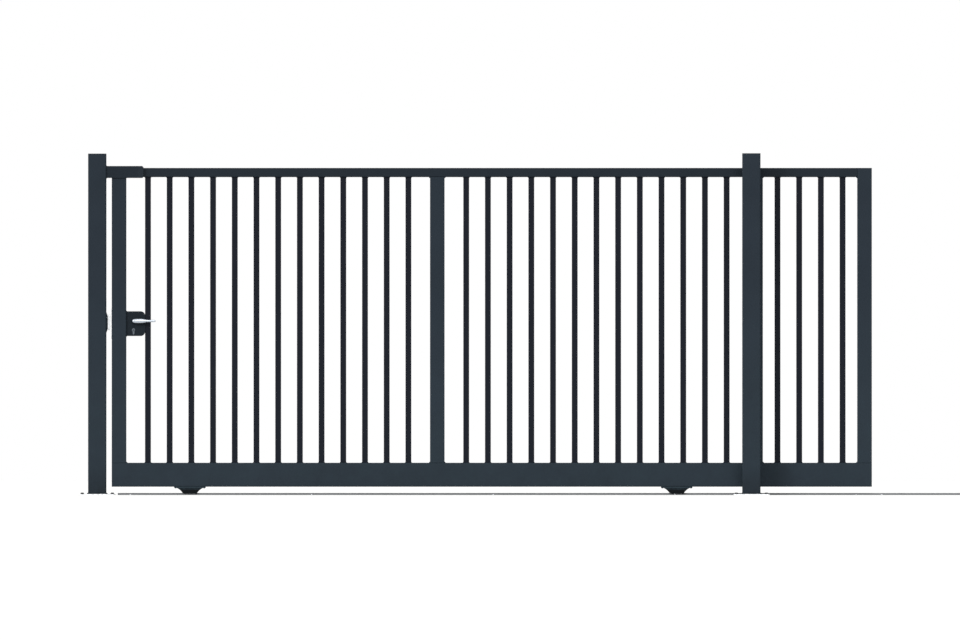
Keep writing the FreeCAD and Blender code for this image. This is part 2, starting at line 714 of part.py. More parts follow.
pieces = {
    "receiving_post": post_tube(0, 0),
    "receiving_post_cap": post_cap(0, 0),
    "receiving_post_foot": post_foot(0, 0),
    "guide_post": post_tube(guide_post_x, guide_post_y),
    "guide_post_cap": post_cap(guide_post_x, guide_post_y),
    "guide_post_foot": post_foot(guide_post_x, guide_post_y),
    "top_catch": top_catch(),
    "keep_plate": keep_plate(),
    "lock_keep": lock_keep(),
    "guide_arm": guide_arm(),
    "guide_rollers": guide_rollers(),
    "guide_roller_bolts": guide_roller_bolts(),
    "passage_track": track(track_x, track_joint_x),
    "parking_track": track(track_joint_x, track_end),
    "track_stop": track_stop(),
    "latch_stile": latch_stile(),
    "middle_stile": upright(middle_stile_x, bars_low, bars_high),
    "guide_stile": upright(guide_stile_x, bars_low, bars_high),
    "tail_stile": upright(tail_stile_x, bars_low, leaf_top - END_CAP),
    "top_rail": level(latch_stile_end, tail_stile_x, bars_high, TOP_RAIL),
    "bottom_rail": bottom_rail(),
    "rail_end_caps": rail_end_caps(),
    "stile_top_caps": stile_top_caps(),
    "latch_bay_bars": bay_bars(latch_stile_end, middle_stile_x),
    "middle_bay_bars": bay_bars(middle_stile_x + STILE, guide_stile_x),
    "tail_bay_bars": bay_bars(guide_stile_x + STILE, tail_stile_x),
    "lock_case": lock_case(),
    "lock_forend": lock_forend(),
    "lock_cylinder": cylinder_prism(0.0, CASE_DEPTH + 2 * CYLINDER_PROUD),
    "street_lever": lever(),
    "yard_lever": lever().mirror(Vector(0, 0, 0), ACROSS),
    "lever_spindle": lever_spindle(),
    "leading_carriage": carriage(leading_x),
    "trailing_carriage": carriage(trailing_x),
    "leading_axle": axle(leading_x),
    "trailing_axle": axle(trailing_x),
    "leading_wheel": wheel(leading_x),
    "trailing_wheel": wheel(trailing_x),
}
os.makedirs("parts", exist_ok=True)
for name, shape in pieces.items():
    shape.exportStep("parts/" + name + ".step")
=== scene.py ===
import json
import math

import bmesh
import bpy
from bpy.props import FloatProperty, FloatVectorProperty, PointerProperty
from bpy.types import Operator, Panel, PropertyGroup
from mathutils import Matrix, Vector


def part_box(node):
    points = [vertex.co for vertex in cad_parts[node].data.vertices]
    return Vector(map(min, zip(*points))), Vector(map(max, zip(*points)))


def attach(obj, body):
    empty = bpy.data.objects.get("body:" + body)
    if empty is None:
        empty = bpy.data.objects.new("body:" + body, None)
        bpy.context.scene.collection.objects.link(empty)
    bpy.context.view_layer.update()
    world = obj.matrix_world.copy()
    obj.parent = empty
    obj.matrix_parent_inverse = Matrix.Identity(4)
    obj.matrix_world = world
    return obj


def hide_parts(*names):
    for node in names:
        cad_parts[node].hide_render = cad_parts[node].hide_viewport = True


bl_info = {
    "name": "Sliding driveway gate",
    "version": (1, 0, 0),
    "blender": (4, 5, 0),
    "location": "View3D > Sidebar > Gate",
    "description": "Dresses the packed sliding gate with finishes, fasteners, welds, levers and a stage",
    "category": "Object",
}

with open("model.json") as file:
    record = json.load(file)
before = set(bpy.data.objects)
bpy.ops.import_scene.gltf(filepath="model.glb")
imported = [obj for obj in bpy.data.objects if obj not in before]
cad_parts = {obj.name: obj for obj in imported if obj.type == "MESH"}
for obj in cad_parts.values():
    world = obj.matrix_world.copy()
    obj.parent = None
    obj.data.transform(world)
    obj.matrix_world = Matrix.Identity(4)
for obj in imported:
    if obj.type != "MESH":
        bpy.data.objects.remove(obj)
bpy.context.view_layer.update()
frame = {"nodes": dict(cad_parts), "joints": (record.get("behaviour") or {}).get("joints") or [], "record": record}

MM = 0.001
POSTS = "fixed_posts_and_track"
LEAF = "leaf"
LEVERS = "lever_pair"
ALONG = Vector((1, 0, 0))
YARD = Vector((0, 1, 0))
STREET = Vector((0, -1, 0))
UP = Vector((0, 0, 1))
DOWN = Vector((0, 0, -1))
# Edges sharper than this are drawn sharp.
CREASE = math.radians(35)
# Points nearer than this are one point.
MERGE = 0.002 * MM
# Sides of a turned fastener and of a thread
ROUND = 24
ROUND_THREAD = 16
# Sockets of a Mix node that mixes colours
SHARE, ONE, OTHER, MIXED = 0, 6, 7, 2
# Values that a noise texture mostly keeps to
NOISE_RANGE = {"From Min": 0.3, "From Max": 0.7}
# Specular level of the dull coats
COAT_GLOSS = 0.1
# Where the lamps stand, seen from the gate
KEY_FROM = Vector((-0.644, -0.667, 0.375))
FRONT_FROM = Vector((0.13, -0.9, 0.41))
BACK_FROM = Vector((0.35, 0.7, 0.62))

# Sizes of the CAD pieces that their boxes don't give
POST_CORNER = 6 * MM
FRAME_CORNER = 5 * MM
BAR_CORNER = 3 * MM
BAR_COUNTS = {"latch_bay_bars": 13, "middle_bay_bars": 13, "tail_bay_bars": 4}
CASE_CORNER = 24 * MM
KEEP_TAPER = 24 * MM
CATCH_PLATE = 5 * MM
# Half width of the catch behind its flared mouth
CATCH_HALF = 41 * MM
CARRIAGE_FLANGE = 6.5 * MM
# A carriage's cheek: length along its top, and outer face from the middle of the rail
CHEEK_TOP = 146 * MM
CHEEK_FACE = 21 * MM
TRACK_BASE = 3 * MM
ARM_THICK = 6 * MM


def linear(code):
    """Linear RGBA of an sRGB hex colour."""
    parts = [int(code[i:i + 2], 16) / 255 for i in (0, 2, 4)]
    return tuple(p / 12.92 if p <= 0.04045 else ((p + 0.055) / 1.055) ** 2.4 for p in parts) + (1.0,)


def colour(name, description, code):
    """A colour that a user may change."""
    return FloatVectorProperty(name=name, description=description, subtype="COLOR", size=4, min=0, max=1,
                               default=linear(code))


def length(name, description, millimetres):
    """A length that a user may change."""
    return FloatProperty(name=name, description=description, unit="LENGTH", subtype="DISTANCE", min=0,
                         precision=5, default=millimetres * MM)


def amount(name, description, value, most):
    """A share or strength that a user may change."""
    return FloatProperty(name=name, description=description, subtype="FACTOR", min=0, max=most, default=value)


class GateColours(PropertyGroup):
    """Colours of the gate's finishes."""

    coat: colour("Frame coat", "Powder coat of the posts, stiles and bottom rail", "262f38")
    # A darker copy of the frame coat: painted shade on the top rail and its catch.
    rail: colour("Top rail coat", "Powder coat of the top rail and its catch", "1f272f")
    bars: colour("Bar coat", "Powder coat of the upright bars", "141821")
    lock: colour("Lock coat", "Fine texture coat of the lock case", "1b2229")
    # Painted shade on the lower part of the carriages, and the grease film on the wheels.
    grease_and_shade: colour("Track grease", "Grease on the lower part of the wheel carriages", "0a0e11")
    # Dust colour, also painted light: it pales the lower half of the coats and the carriages.
    dust_and_painted_light: colour("Dust", "Road dust on the lower half of the coat", "4e626a")
    # Painted shade: this colour darkens the coats just above the ground.
    splash: colour("Splash dirt", "Damp dirt thrown up on the lowest part of the coat", "101316")
    cap: colour("Cap plastic", "Moulded caps of the posts", "1d242a")
    foot_zinc: colour("Foot zinc", "Hot-dip zinc of the post feet", "e6e8ea")
    track_zinc: colour("Track zinc", "Weathered zinc of the ground track", "828486")
    screw_zinc: colour("Screw zinc", "Bright zinc of screws, bolts and axles", "c9ccd0")
    anchor: colour("Anchor black", "Black oxide of the ground anchors", "26282a")
    stainless: colour("Stainless steel", "Keep and face plate of the lock", "dadcde")
    lever: colour("Lever", "Satin nickel of the lever pair", "bac1ca")
    cylinder: colour("Key cylinder", "Nickelled brass of the key cylinder", "5f666d")
    # Darker than the cylinder: painted shade, as on a recessed plug.
    plug: colour("Key plug", "Nickel of the turning plug, dulled by keys", "4e545a")
    keyway: colour("Keyway", "Shaded brass inside the keyway", "2a2620")
    wheel: colour("Wheel steel", "Turned steel of the wheels", "9c9ea1")
    nylon: colour("Guide roller", "Cast nylon of the guide rollers", "d8d5cb")


class GateDustLightAndShade(PropertyGroup):
    """Dust with painted light on the coats, and painted shade near the ground and on the carriages."""

    # Shares and height of the dust, which also paints light on the lower coats.
    frame_dust_and_light: amount("Dust on frame", "Share of dust on posts and frame", 0.15, 1)
    bar_dust_and_light: amount("Dust on bars", "Share of dust on the bars", 0.02, 1)
    # Painted light on the carriages, against the shade of the rail.
    carriage_painted_light: amount("Dust on carriages", "Share of dust on the carriages", 0.42, 1)
    dust_and_light_top: length("Dust height", "Height at which the dust ends", 1200)
    # Heights up to which the painted shade above the ground reaches.
    post_ground_shade: length("Splash on posts", "Height at which the splashed dirt on the posts ends", 170)
    leaf_ground_shade: length("Splash on leaf", "Height at which the splashed dirt on the leaf ends", 60)
    # Heights of the painted shade on the carriages.
    painted_shade_full: length("Grease", "Height below which the carriages are all grease", 31)
    painted_shade_end: length("Grease end", "Height at which the grease on the carriages ends", 44)


class GateFasteners(PropertyGroup):
    """Sizes and places of the screws, bolts and anchors."""

    anchor_flats: length("Anchor flats", "Hexagon of a ground anchor, across flats", 15)
    anchor_head: length("Anchor head", "Height of a ground anchor above its foot plate", 8)
    anchor_flange: length("Anchor flange", "Radius of the flange of a ground anchor", 11.5)
    track_head: length("Track screw radius", "Radius of a track screw's head", 6)
    track_rise: length("Track screw height", "Height of a track screw's head", 3)
    carriage_head: length("Carriage screw radius", "Radius of a carriage screw's head", 5)
    carriage_rise: length("Carriage screw height", "Height of a carriage screw's head", 2.6)
    carriage_inset: length("Carriage screw inset", "Carriage screw to the end of its flange", 7.5)
    carriage_side: length("Carriage screw side", "Carriage screw to the middle of the rail", 14)
    catch_head: length("Catch screw radius", "Radius of a screw of the top catch", 8.5)
    catch_rise: length("Catch screw height", "Height of a screw of the top catch", 5)
    catch_side: length("Catch screw side", "Catch screw to the middle of the catch", 18)
    lock_head: length("Lock screw radius", "Radius of a countersunk screw of lock and keep", 4.2)
    lock_rise: length("Lock screw height", "Height of a screw above its plate on lock and keep", 0.7)
    forend_inset: length("Face plate screw inset", "Screw to the end of the lock's face plate", 12)
    keep_inset: length("Keep screw inset", "Screw to the end of the keep", 5.5)
    arm_flats: length("Arm bolt flats", "Hexagon of a bolt of the guide arm, across flats", 17)
    arm_head: length("Arm bolt head", "Height of a bolt head of the guide arm", 6.5)
    arm_side: length("Arm bolt side", "Arm bolt to the middle of the guide arm", 24)
    arm_low: length("Lower arm bolts", "Lower bolts above the lower edge of the guide arm", 28)
    arm_high: length("Upper arm bolts", "Upper bolts above the lower edge of the guide arm", 88)
    roller_flats: length("Roller bolt flats", "Hexagon of a roller bolt, across flats", 19)


class GateWelds(PropertyGroup):
    """Sizes of the weld beads."""

    post_leg: length("Post weld", "Leg of the bead round a post's foot", 7)
    bar_leg: length("Bar weld", "Leg of the bead round a bar's end", 4)
    corner_leg: length("Corner weld", "Leg of the bead in the corners of the bays", 6)
    seam_leg: length("Seam weld", "Leg of the beads on lock case, catch, keep and carriages", 3.5)
    ripple: length("Ripple", "Spacing of the ripples of a bead", 3.5)
    keep_end: length("Keep weld end", "End of the keep's bead to the slope of its plate", 2)
    cheek_end: length("Cheek weld end", "End of a carriage's bead to the end of its cheek", 7)


class GateLever(PropertyGroup):
    """Sizes of the levers and key plugs."""

    neck: length("Neck radius", "Radius of the lever's neck", 9)
    reach: length("Reach", "Lever axis to the tip of the grip", 121)
    standoff: length("Stand-off", "Lock case to the middle of the grip", 32)
    plug: length("Key plug radius", "Radius of the turning plug in the key cylinder", 6.6)
    plug_rise: length("Key plug rise", "Rim of the plug proud of the cylinder", 0.5)
    plug_crown: length("Key plug crown", "Middle of the plug proud of its rim", 0.25)
    keyway_width: length("Keyway width", "Width of the keyway", 2.2)
    keyway_height: length("Keyway height", "Height of the keyway", 8.4)
    keyway_depth: length("Keyway depth", "Depth of the keyway", 5)


class GateStage(PropertyGroup):
    """Floor, light and camera."""

    floor: colour("Floor", "Pale studio floor", "f1f1ef")
    floor_size: length("Floor size", "Half width of the floor", 400000)
    floor_glow: amount("Floor lift", "White added to the floor in view", 0.4, 1)
    ambient: amount("Ambient", "Light of the room", 0.3, 1)
    front: amount("Front light", "Broad light from the street", 0.75, 10)
    key: amount("Key light", "Soft light from the front left", 1.45, 10)
    back: amount("Back light", "Soft light from the yard", 0.9, 10)
    softness: FloatProperty(name="Softness", description="Angle of the lamps", subtype="ANGLE",
                            unit="ROTATION", default=math.radians(28), min=0)
    view_width: length("View width", "Width of the picture at the leaf", 5286)
    aim_x: length("Aim along", "Middle of the picture along the gate", 2107.4)
    aim_z: length("Aim height", "Middle of the picture above the ground", 964.1)
    eye_height: length("Eye height", "Camera above the ground", 100)
    lens: FloatProperty(name="Lens", description="Focal length in millimetres", unit="CAMERA", min=1,
                        default=1000)


def add(tree, kind, sockets=None, **settings):
    """Adds a node with its options, fills or links its inputs, and gives its outputs."""
    node = tree.nodes.new(kind)
    for option, value in settings.items():
        setattr(node, option, value)
    for key, value in (sockets or {}).items():
        if isinstance(value, bpy.types.NodeSocket):
            tree.links.new(value, node.inputs[key])
        else:
            node.inputs[key].default_value = value
    return node.outputs


def blank(name):
    """A new material with an empty tree."""
    made = bpy.data.materials.new(name)
    made.use_nodes = True
    made.node_tree.nodes.clear()
    return made


def new_finish(name, build, *values):
    """A material on object coordinates, from a builder that gives the inputs of its surface."""
    made = blank(name)
    tree = made.node_tree
    place = add(tree, "ShaderNodeTexCoord")["Object"]
    surface = add(tree, "ShaderNodeBsdfPrincipled", build(tree, place, *values))["BSDF"]
    add(tree, "ShaderNodeOutputMaterial", {"Surface": surface})
    return made


def per_mm(size):
    """Texture scale for features of this size in millimetres."""
    return 1 / (size * MM)


def shade(base, amount):
    """The colour made lighter or darker by a share."""
    return tuple(min(1.0, c * (1 + amount)) for c in base[:3]) + (1.0,)


def mottled(tree, noise, base, darker, lighter):
    """The base colour made darker and lighter, by shares, as a noise falls and rises."""
    tone = add(tree, "ShaderNodeMapRange", {"Value": noise, **NOISE_RANGE})["Result"]
    return add(tree, "ShaderNodeMix", {SHARE: tone, ONE: shade(base, -darker), OTHER: shade(base, lighter)},
               data_type="RGBA")[MIXED]


def patched_over(tree, cover, patches, skin, dirt):
    """A skin under an overlay that lies in patches, as thick as its cover. It lays dust with painted light on the
    coats, and painted shade near the ground.
    """
    film = add(tree, "ShaderNodeMath", {0: cover, 1: patches}, operation="MULTIPLY")["Value"]
    return add(tree, "ShaderNodeMix", {SHARE: film, ONE: skin, OTHER: dirt}, data_type="RGBA")[MIXED]


def powder_coat(tree, place, base, tone, dust_light_and_shade, dust_and_light_share, ground_shade_top):
    """Polyester powder coat baked on steel: a satin skin with a fine orange peel and a speckle of its
    pigments, clouded by a few percent from place to place, paler on its lower half with dust and
    painted light, and darker just above the ground with painted shade."""
    cloud = add(tree, "ShaderNodeTexNoise", {"Vector": place, "Scale": per_mm(260), "Detail": 3})["Fac"]
    clouded = mottled(tree, cloud, base, 0.08, 0.08)
    # Real pigment grains are under 0.1 mm, drawn at 2.5 mm so that they show.
    speckle = add(tree, "ShaderNodeTexNoise", {"Vector": place, "Scale": per_mm(2.5), "Detail": 2})["Fac"]
    grain = add(tree, "ShaderNodeMapRange", {"Value": speckle, **NOISE_RANGE, "To Min": 0.84,
                                             "To Max": 1.16})["Result"]
    body = add(tree, "ShaderNodeVectorMath", {0: clouded, "Scale": grain}, operation="SCALE")["Vector"]
    height = add(tree, "ShaderNodeSeparateXYZ", {"Vector": place})["Z"]
    patches = add(tree, "ShaderNodeTexNoise", {"Vector": place, "Scale": per_mm(70), "Detail": 4})["Fac"]
    # Dust, and painted light: paler towards the bottom of the lower half.
    lower = add(tree, "ShaderNodeMapRange", {"Value": height, "From Min": 0.3 * dust_light_and_shade.dust_and_light_top,
                                             "From Max": dust_light_and_shade.dust_and_light_top, "To Min": dust_and_light_share,
                                             "To Max": 0})["Result"]
    dusty_and_lit = patched_over(tree, lower, patches, body, tone.dust_and_painted_light)
    # Painted shade, darker just above the ground.
    lowest = add(tree, "ShaderNodeMapRange", {"Value": height, "From Min": 10 * MM, "From Max": ground_shade_top,
                                              "To Min": 0.9, "To Max": 0})["Result"]
    skin = patched_over(tree, lowest, patches, dusty_and_lit, tone.splash)
    # Real orange peel is about 2 mm wide, too fine for the picture, so it is drawn 7 mm wide.
    peel = add(tree, "ShaderNodeTexNoise", {"Vector": place, "Scale": per_mm(7), "Detail": 2})["Fac"]
    relief = add(tree, "ShaderNodeBump", {"Height": peel, "Strength": 0.3, "Distance": 0.5 * MM})["Normal"]
    gloss = add(tree, "ShaderNodeMapRange", {"Value": patches, **NOISE_RANGE, "To Min": 0.44,
                                             "To Max": 0.6})["Result"]
    return {"Base Color": skin, "Roughness": gloss, "Normal": relief, "Specular IOR Level": COAT_GLOSS}


def fine_texture_coat(tree, place, base):
    """Fine texture powder coat on the lock: matt, with a dry grain like fine sandpaper."""
    # The real grain is about 0.4 mm, drawn at 2 mm so that it shows.
    grain = add(tree, "ShaderNodeTexNoise", {"Vector": place, "Scale": per_mm(2), "Detail": 3})["Fac"]
    skin = mottled(tree, grain, base, 0.12, 0.14)
    gloss = add(tree, "ShaderNodeMapRange", {"Value": grain, "To Min": 0.5, "To Max": 0.72})["Result"]
    relief = add(tree, "ShaderNodeBump", {"Height": grain, "Strength": 0.3, "Distance": 0.25 * MM})["Normal"]
    return {"Base Color": skin, "Roughness": gloss, "Normal": relief, "Specular IOR Level": COAT_GLOSS}


def shaded_carriage_coat(tree, place, tone, dust_light_and_shade):
    """Powder coat on the welded carriages: lifted with painted light against the shade of the rail,
    and darkened with painted shade towards the wheel, in uneven patches."""
    height = add(tree, "ShaderNodeSeparateXYZ", {"Vector": place})["Z"]
    uneven_patches = add(tree, "ShaderNodeTexNoise", {"Vector": place, "Scale": per_mm(18), "Detail": 4})["Fac"]
    # Painted light: the whole carriage coat is paler, against the shade of the rail.
    dusty_and_lit = patched_over(tree, dust_light_and_shade.carriage_painted_light, uneven_patches, tone.coat, tone.dust_and_painted_light)
    # Painted shade, darker towards the wheel.
    uneven = add(tree, "ShaderNodeMath", {0: uneven_patches, 1: 8 * MM, 2: height}, operation="MULTIPLY_ADD")["Value"]
    coated = add(tree, "ShaderNodeMapRange", {"Value": uneven, "From Min": dust_light_and_shade.painted_shade_full,
                                              "From Max": dust_light_and_shade.painted_shade_end})["Result"]
    skin = add(tree, "ShaderNodeMix", {SHARE: coated, ONE: tone.grease_and_shade, OTHER: dusty_and_lit},
               data_type="RGBA")[MIXED]
    gloss = add(tree, "ShaderNodeMapRange", {"Value": uneven_patches, **NOISE_RANGE, "To Min": 0.42,
                                             "To Max": 0.6})["Result"]
    relief = add(tree, "ShaderNodeBump", {"Height": uneven_patches, "Strength": 0.12, "Distance": 0.3 * MM})["Normal"]
    return {"Base Color": skin, "Roughness": gloss, "Normal": relief, "Specular IOR Level": 0.07}


def moulded_plastic(tree, place, base, grain_mm, roughness):
    """Injection moulded plastic with a spark-eroded grain: matt, with an even, soft speckle."""
    flow = add(tree, "ShaderNodeTexNoise", {"Vector": place, "Scale": per_mm(45), "Detail": 2})["Fac"]
    skin = mottled(tree, flow, base, 0.06, 0.06)
    # The real grain is about 0.1 mm, drawn coarser so that it shows.
    grain = add(tree, "ShaderNodeTexNoise", {"Vector": place, "Scale": per_mm(grain_mm), "Detail": 2})["Fac"]
    gloss = add(tree, "ShaderNodeMapRange", {"Value": grain, "To Min": roughness - 0.1,
                                             "To Max": roughness + 0.1})["Result"]
    relief = add(tree, "ShaderNodeBump", {"Height": grain, "Strength": 0.2, "Distance": 0.2 * MM})["Normal"]
    return {"Base Color": skin, "Roughness": gloss, "Normal": relief, "Specular IOR Level": 0.3}


def spangled_zinc(tree, place, base, spangle_mm):
    """Hot-dip zinc: pale metal broken into crystals that each catch the light a little differently."""
    wander = add(tree, "ShaderNodeTexNoise", {"Vector": place, "Scale": per_mm(9), "Detail": 2})["Color"]
    ragged = add(tree, "ShaderNodeVectorMath", {0: wander, 1: (3 * MM, 3 * MM, 3 * MM), 2: place},
                 operation="MULTIPLY_ADD")["Vector"]
    cells = add(tree, "ShaderNodeTexVoronoi", {"Vector": ragged, "Scale": per_mm(spangle_mm)})["Color"]
    tone = add(tree, "ShaderNodeSeparateColor", {"Color": cells})["Red"]
    skin = add(tree, "ShaderNodeMix", {SHARE: tone, ONE: shade(base, -0.14), OTHER: shade(base, 0.04)},
               data_type="RGBA")[MIXED]
    gloss = add(tree, "ShaderNodeMapRange", {"Value": tone, "To Min": 0.32, "To Max": 0.5})["Result"]
    return {"Base Color": skin, "Roughness": gloss, "Metallic": 1.0}


def weathered_zinc(tree, place, base, polish):
    """Zinc coat after some seasons outdoors: a dull grey bloom drawn into long streaks, with bare metal
    to the share given by polish where the wheels run on the crown of the rib."""
    stretch = (per_mm(400), per_mm(9), per_mm(9))
    drawn = add(tree, "ShaderNodeMapping", {"Vector": place, "Scale": stretch})["Vector"]
    streaks = add(tree, "ShaderNodeTexNoise", {"Vector": drawn, "Scale": 1, "Detail": 3})["Fac"]
    bloom = mottled(tree, streaks, base, 0.1, 0.1)
    height = add(tree, "ShaderNodeSeparateXYZ", {"Vector": place})["Z"]
    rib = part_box("passage_track")[1].z
    crown = add(tree, "ShaderNodeMapRange", {"Value": height, "From Min": rib - 1.5 * MM,
                                             "From Max": rib - 0.2 * MM, "To Max": polish})["Result"]
    skin = add(tree, "ShaderNodeMix", {SHARE: crown, ONE: bloom, OTHER: shade(base, 0.5)},
               data_type="RGBA")[MIXED]
    bare = add(tree, "ShaderNodeMapRange", {"Value": crown, "To Min": 0.25, "To Max": 1})["Result"]
    gloss = add(tree, "ShaderNodeMapRange", {"Value": crown, "To Min": 0.55, "To Max": 0.3})["Result"]
    return {"Base Color": skin, "Roughness": gloss, "Metallic": bare, "Specular IOR Level": 0.3}


def brushed_metal(tree, place, base, stretch, roughness):
    """Metal brushed one way with a fine belt: a satin sheen drawn out into hairlines."""
    # Real hairlines are about 0.1 mm apart, drawn at 0.8 mm so that they show.
    drawn = add(tree, "ShaderNodeMapping", {"Vector": place, "Scale": stretch})["Vector"]
    hairs = add(tree, "ShaderNodeTexNoise", {"Vector": drawn, "Scale": 1, "Detail": 2})["Fac"]
    skin = mottled(tree, hairs, base, 0.08, 0.05)
    gloss = add(tree, "ShaderNodeMapRange", {"Value": hairs, **NOISE_RANGE, "To Min": roughness - 0.06,
                                             "To Max": roughness + 0.08})["Result"]
    relief = add(tree, "ShaderNodeBump", {"Height": hairs, "Strength": 0.06, "Distance": 0.05 * MM})["Normal"]
    return {"Base Color": skin, "Roughness": gloss, "Normal": relief, "Metallic": 1.0}


def plated_metal(tree, place, base, roughness, cloud_mm):
    """Plated or blackened fastener metal: an even skin, clouded by handling."""
    cloud = add(tree, "ShaderNodeTexNoise", {"Vector": place, "Scale": per_mm(cloud_mm), "Detail": 4})["Fac"]
    skin = mottled(tree, cloud, base, 0.15, 0.08)
    gloss = add(tree, "ShaderNodeMapRange", {"Value": cloud, **NOISE_RANGE, "To Min": roughness - 0.07,
                                             "To Max": roughness + 0.09})["Result"]
    return {"Base Color": skin, "Roughness": gloss, "Metallic": 1.0}


def turned_steel(tree, place, base, grease_and_shade, axle):
    """Wheel steel off the lathe under a film of track grease: fine rings about the axle, dark and
    unevenly wet."""
    about = add(tree, "ShaderNodeMapping", {"Vector": place, "Location": (-axle.x, 0, -axle.z),
                                            "Scale": (1, 0, 1)})["Vector"]
    radius = add(tree, "ShaderNodeVectorMath", {0: about}, operation="LENGTH")["Value"]
    # Real feed marks are about 0.3 mm apart, drawn at 1.5 mm so that they show.
    turns = add(tree, "ShaderNodeMath", {0: radius, 1: 2 * math.pi * per_mm(1.5)},
                operation="MULTIPLY")["Value"]
    marks = add(tree, "ShaderNodeMath", {0: turns}, operation="SINE")["Value"]
    uneven_patches = add(tree, "ShaderNodeTexNoise", {"Vector": place, "Scale": per_mm(18), "Detail": 3})["Fac"]
    film = add(tree, "ShaderNodeMapRange", {"Value": uneven_patches, **NOISE_RANGE, "To Min": 0.6,
                                            "To Max": 0.9})["Result"]
    skin = add(tree, "ShaderNodeMix", {SHARE: film, ONE: base, OTHER: grease_and_shade}, data_type="RGBA")[MIXED]
    gloss = add(tree, "ShaderNodeMapRange", {"Value": uneven_patches, **NOISE_RANGE, "To Min": 0.42,
                                             "To Max": 0.28})["Result"]
    relief = add(tree, "ShaderNodeBump", {"Height": marks, "Strength": 0.1, "Distance": 0.08 * MM})["Normal"]
    return {"Base Color": skin, "Roughness": gloss, "Normal": relief, "Metallic": 1.0}


def keyway_painted_shade(tree, place, base):
    """Brass deep in the keyway: dark with painted shade, in an uneven film."""
    film = add(tree, "ShaderNodeTexNoise", {"Vector": place, "Scale": per_mm(1.5), "Detail": 3})["Fac"]
    skin = add(tree, "ShaderNodeMix", {SHARE: film, ONE: shade(base, -0.4), OTHER: shade(base, 0.4)},
               data_type="RGBA")[MIXED]
    gloss = add(tree, "ShaderNodeMapRange", {"Value": film, "To Min": 0.4, "To Max": 0.8})["Result"]
    return {"Base Color": skin, "Roughness": gloss, "Metallic": 1.0}


def axle_place(joint):
    """Axis point of a joint at rest."""
    found = [j for j in frame["joints"] if j["name"] == joint]
    if not found:
        raise RuntimeError("the packed gate has no joint " + joint)
    return Vector(found[0]["pos_m"])


def material(name):
    """A finish that the finishing operator has made."""
    if name not in bpy.data.materials:
        raise RuntimeError("run the finishes first: there is no " + name)
    return bpy.data.materials[name]


def middle(node):
    """Centre of a CAD piece's box."""
    low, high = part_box(node)
    return (low + high) / 2


def turned_to(axis, place):
    """Matrix that stands a pattern's Z along an axis at a place."""
    return Matrix.Translation(place) @ axis.to_track_quat("Z", "Y").to_matrix().to_4x4()


def bolt_places(start, seat):
    """Upright places on a seat, at the holes of the record's bolt patterns whose names start so."""
    places = []
    for mount in frame["record"]["mounts"]:
        if mount["name"].startswith(start):
            x, y = mount["pos_m"][:2]
            half_x = mount["dims"].get("spacing_x_mm", 0) / 2 * MM
            half_y = mount["dims"].get("spacing_y_mm", 0) / 2 * MM
            for across in sorted({x - half_x, x + half_x}):
                for away in (y - half_y, y + half_y):
                    places.append(turned_to(UP, Vector((across, away, seat))))
    if not places:
        raise RuntimeError("the record has no bolt holes called " + start)
    return places


def tidy(bm):
    """Merges doubles and turns the faces outwards."""
    bmesh.ops.remove_doubles(bm, verts=bm.verts, dist=MERGE)
    bmesh.ops.recalc_face_normals(bm, faces=bm.faces)


def pattern(build, *sizes):
    """A mesh built once about the origin, to be stamped at many places."""
    bm = bmesh.new()
    build(bm, *sizes)
    tidy(bm)
    mesh = bpy.data.meshes.new("pattern")
    bm.to_mesh(mesh)
    bm.free()
    return mesh


def stamp(bm, mesh, matrices):
    """Copies of a pattern, one for each matrix."""
    for matrix in matrices:
        before = len(bm.verts)
        bm.from_mesh(mesh)
        bm.verts.ensure_lookup_table()
        bmesh.ops.transform(bm, matrix=matrix, verts=bm.verts[before:])
    bpy.data.meshes.remove(mesh)


def piece(name, bm, body, slot, *finishes):
    """A finished piece that rides on a body."""
    mesh = bpy.data.meshes.new(name)
    bm.to_mesh(mesh)
    bm.free()
    mesh.shade_smooth()
    mesh.set_sharp_from_angle(angle=CREASE)
    for finish in finishes:
        mesh.materials.append(material(finish))
    made = bpy.data.objects.new(name, mesh)
    bpy.context.scene.collection.objects.link(made)
    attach(made, body)
    return made


def stamped(name, body, slot, finish, mesh, matrices):
    """A piece of stamped copies."""
    bm = bmesh.new()
    stamp(bm, mesh, matrices)
    return piece(name, bm, body, slot, finish)


def spun(bm, outline, steps):
    """An outline of radius and height turned about Z."""
    points = [bm.verts.new((radius, 0, height)) for radius, height in outline]
    edges = [bm.edges.new(pair) for pair in zip(points, points[1:])]
    bmesh.ops.spin(bm, geom=points + edges, cent=(0, 0, 0), axis=UP, dvec=(0, 0, 0), angle=2 * math.pi,
                   steps=steps, use_merge=True, use_duplicate=False)


def only(kind, geometry):
    """The vertices, edges or faces among what an operator made."""
    return [part for part in geometry if isinstance(part, kind)]


def hexagon(bm, flats, low, high, edge):
    """A hexagon prism with its upper rim bevelled."""
    ring = bmesh.ops.create_circle(bm, cap_ends=True, segments=6, radius=flats / math.sqrt(3),
                                   matrix=Matrix.Translation((0, 0, low)))
    grown = bmesh.ops.extrude_face_region(bm, geom=list(ring["verts"][0].link_faces))["geom"]
    bmesh.ops.translate(bm, vec=(0, 0, high - low), verts=only(bmesh.types.BMVert, grown))
    top = only(bmesh.types.BMFace, grown)[0]
    bmesh.ops.bevel(bm, geom=list(top.edges), offset=edge, offset_type="OFFSET", segments=2, profile=0.5,
                    affect="EDGES", material=-1)


def flange_screw(bm, flats, head, flange):
    """Hexagon head with a sloping flange, seat on the XY plane."""
    rim = 0.16 * head
    shoulder = 0.3 * head
    sunk = 0.3 * MM
    spun(bm, [(0, 0), (flange, 0), (flange, rim), (flats * 0.6, shoulder), (0, shoulder)], ROUND)
    hexagon(bm, flats, shoulder - sunk, head, 0.09 * flats)


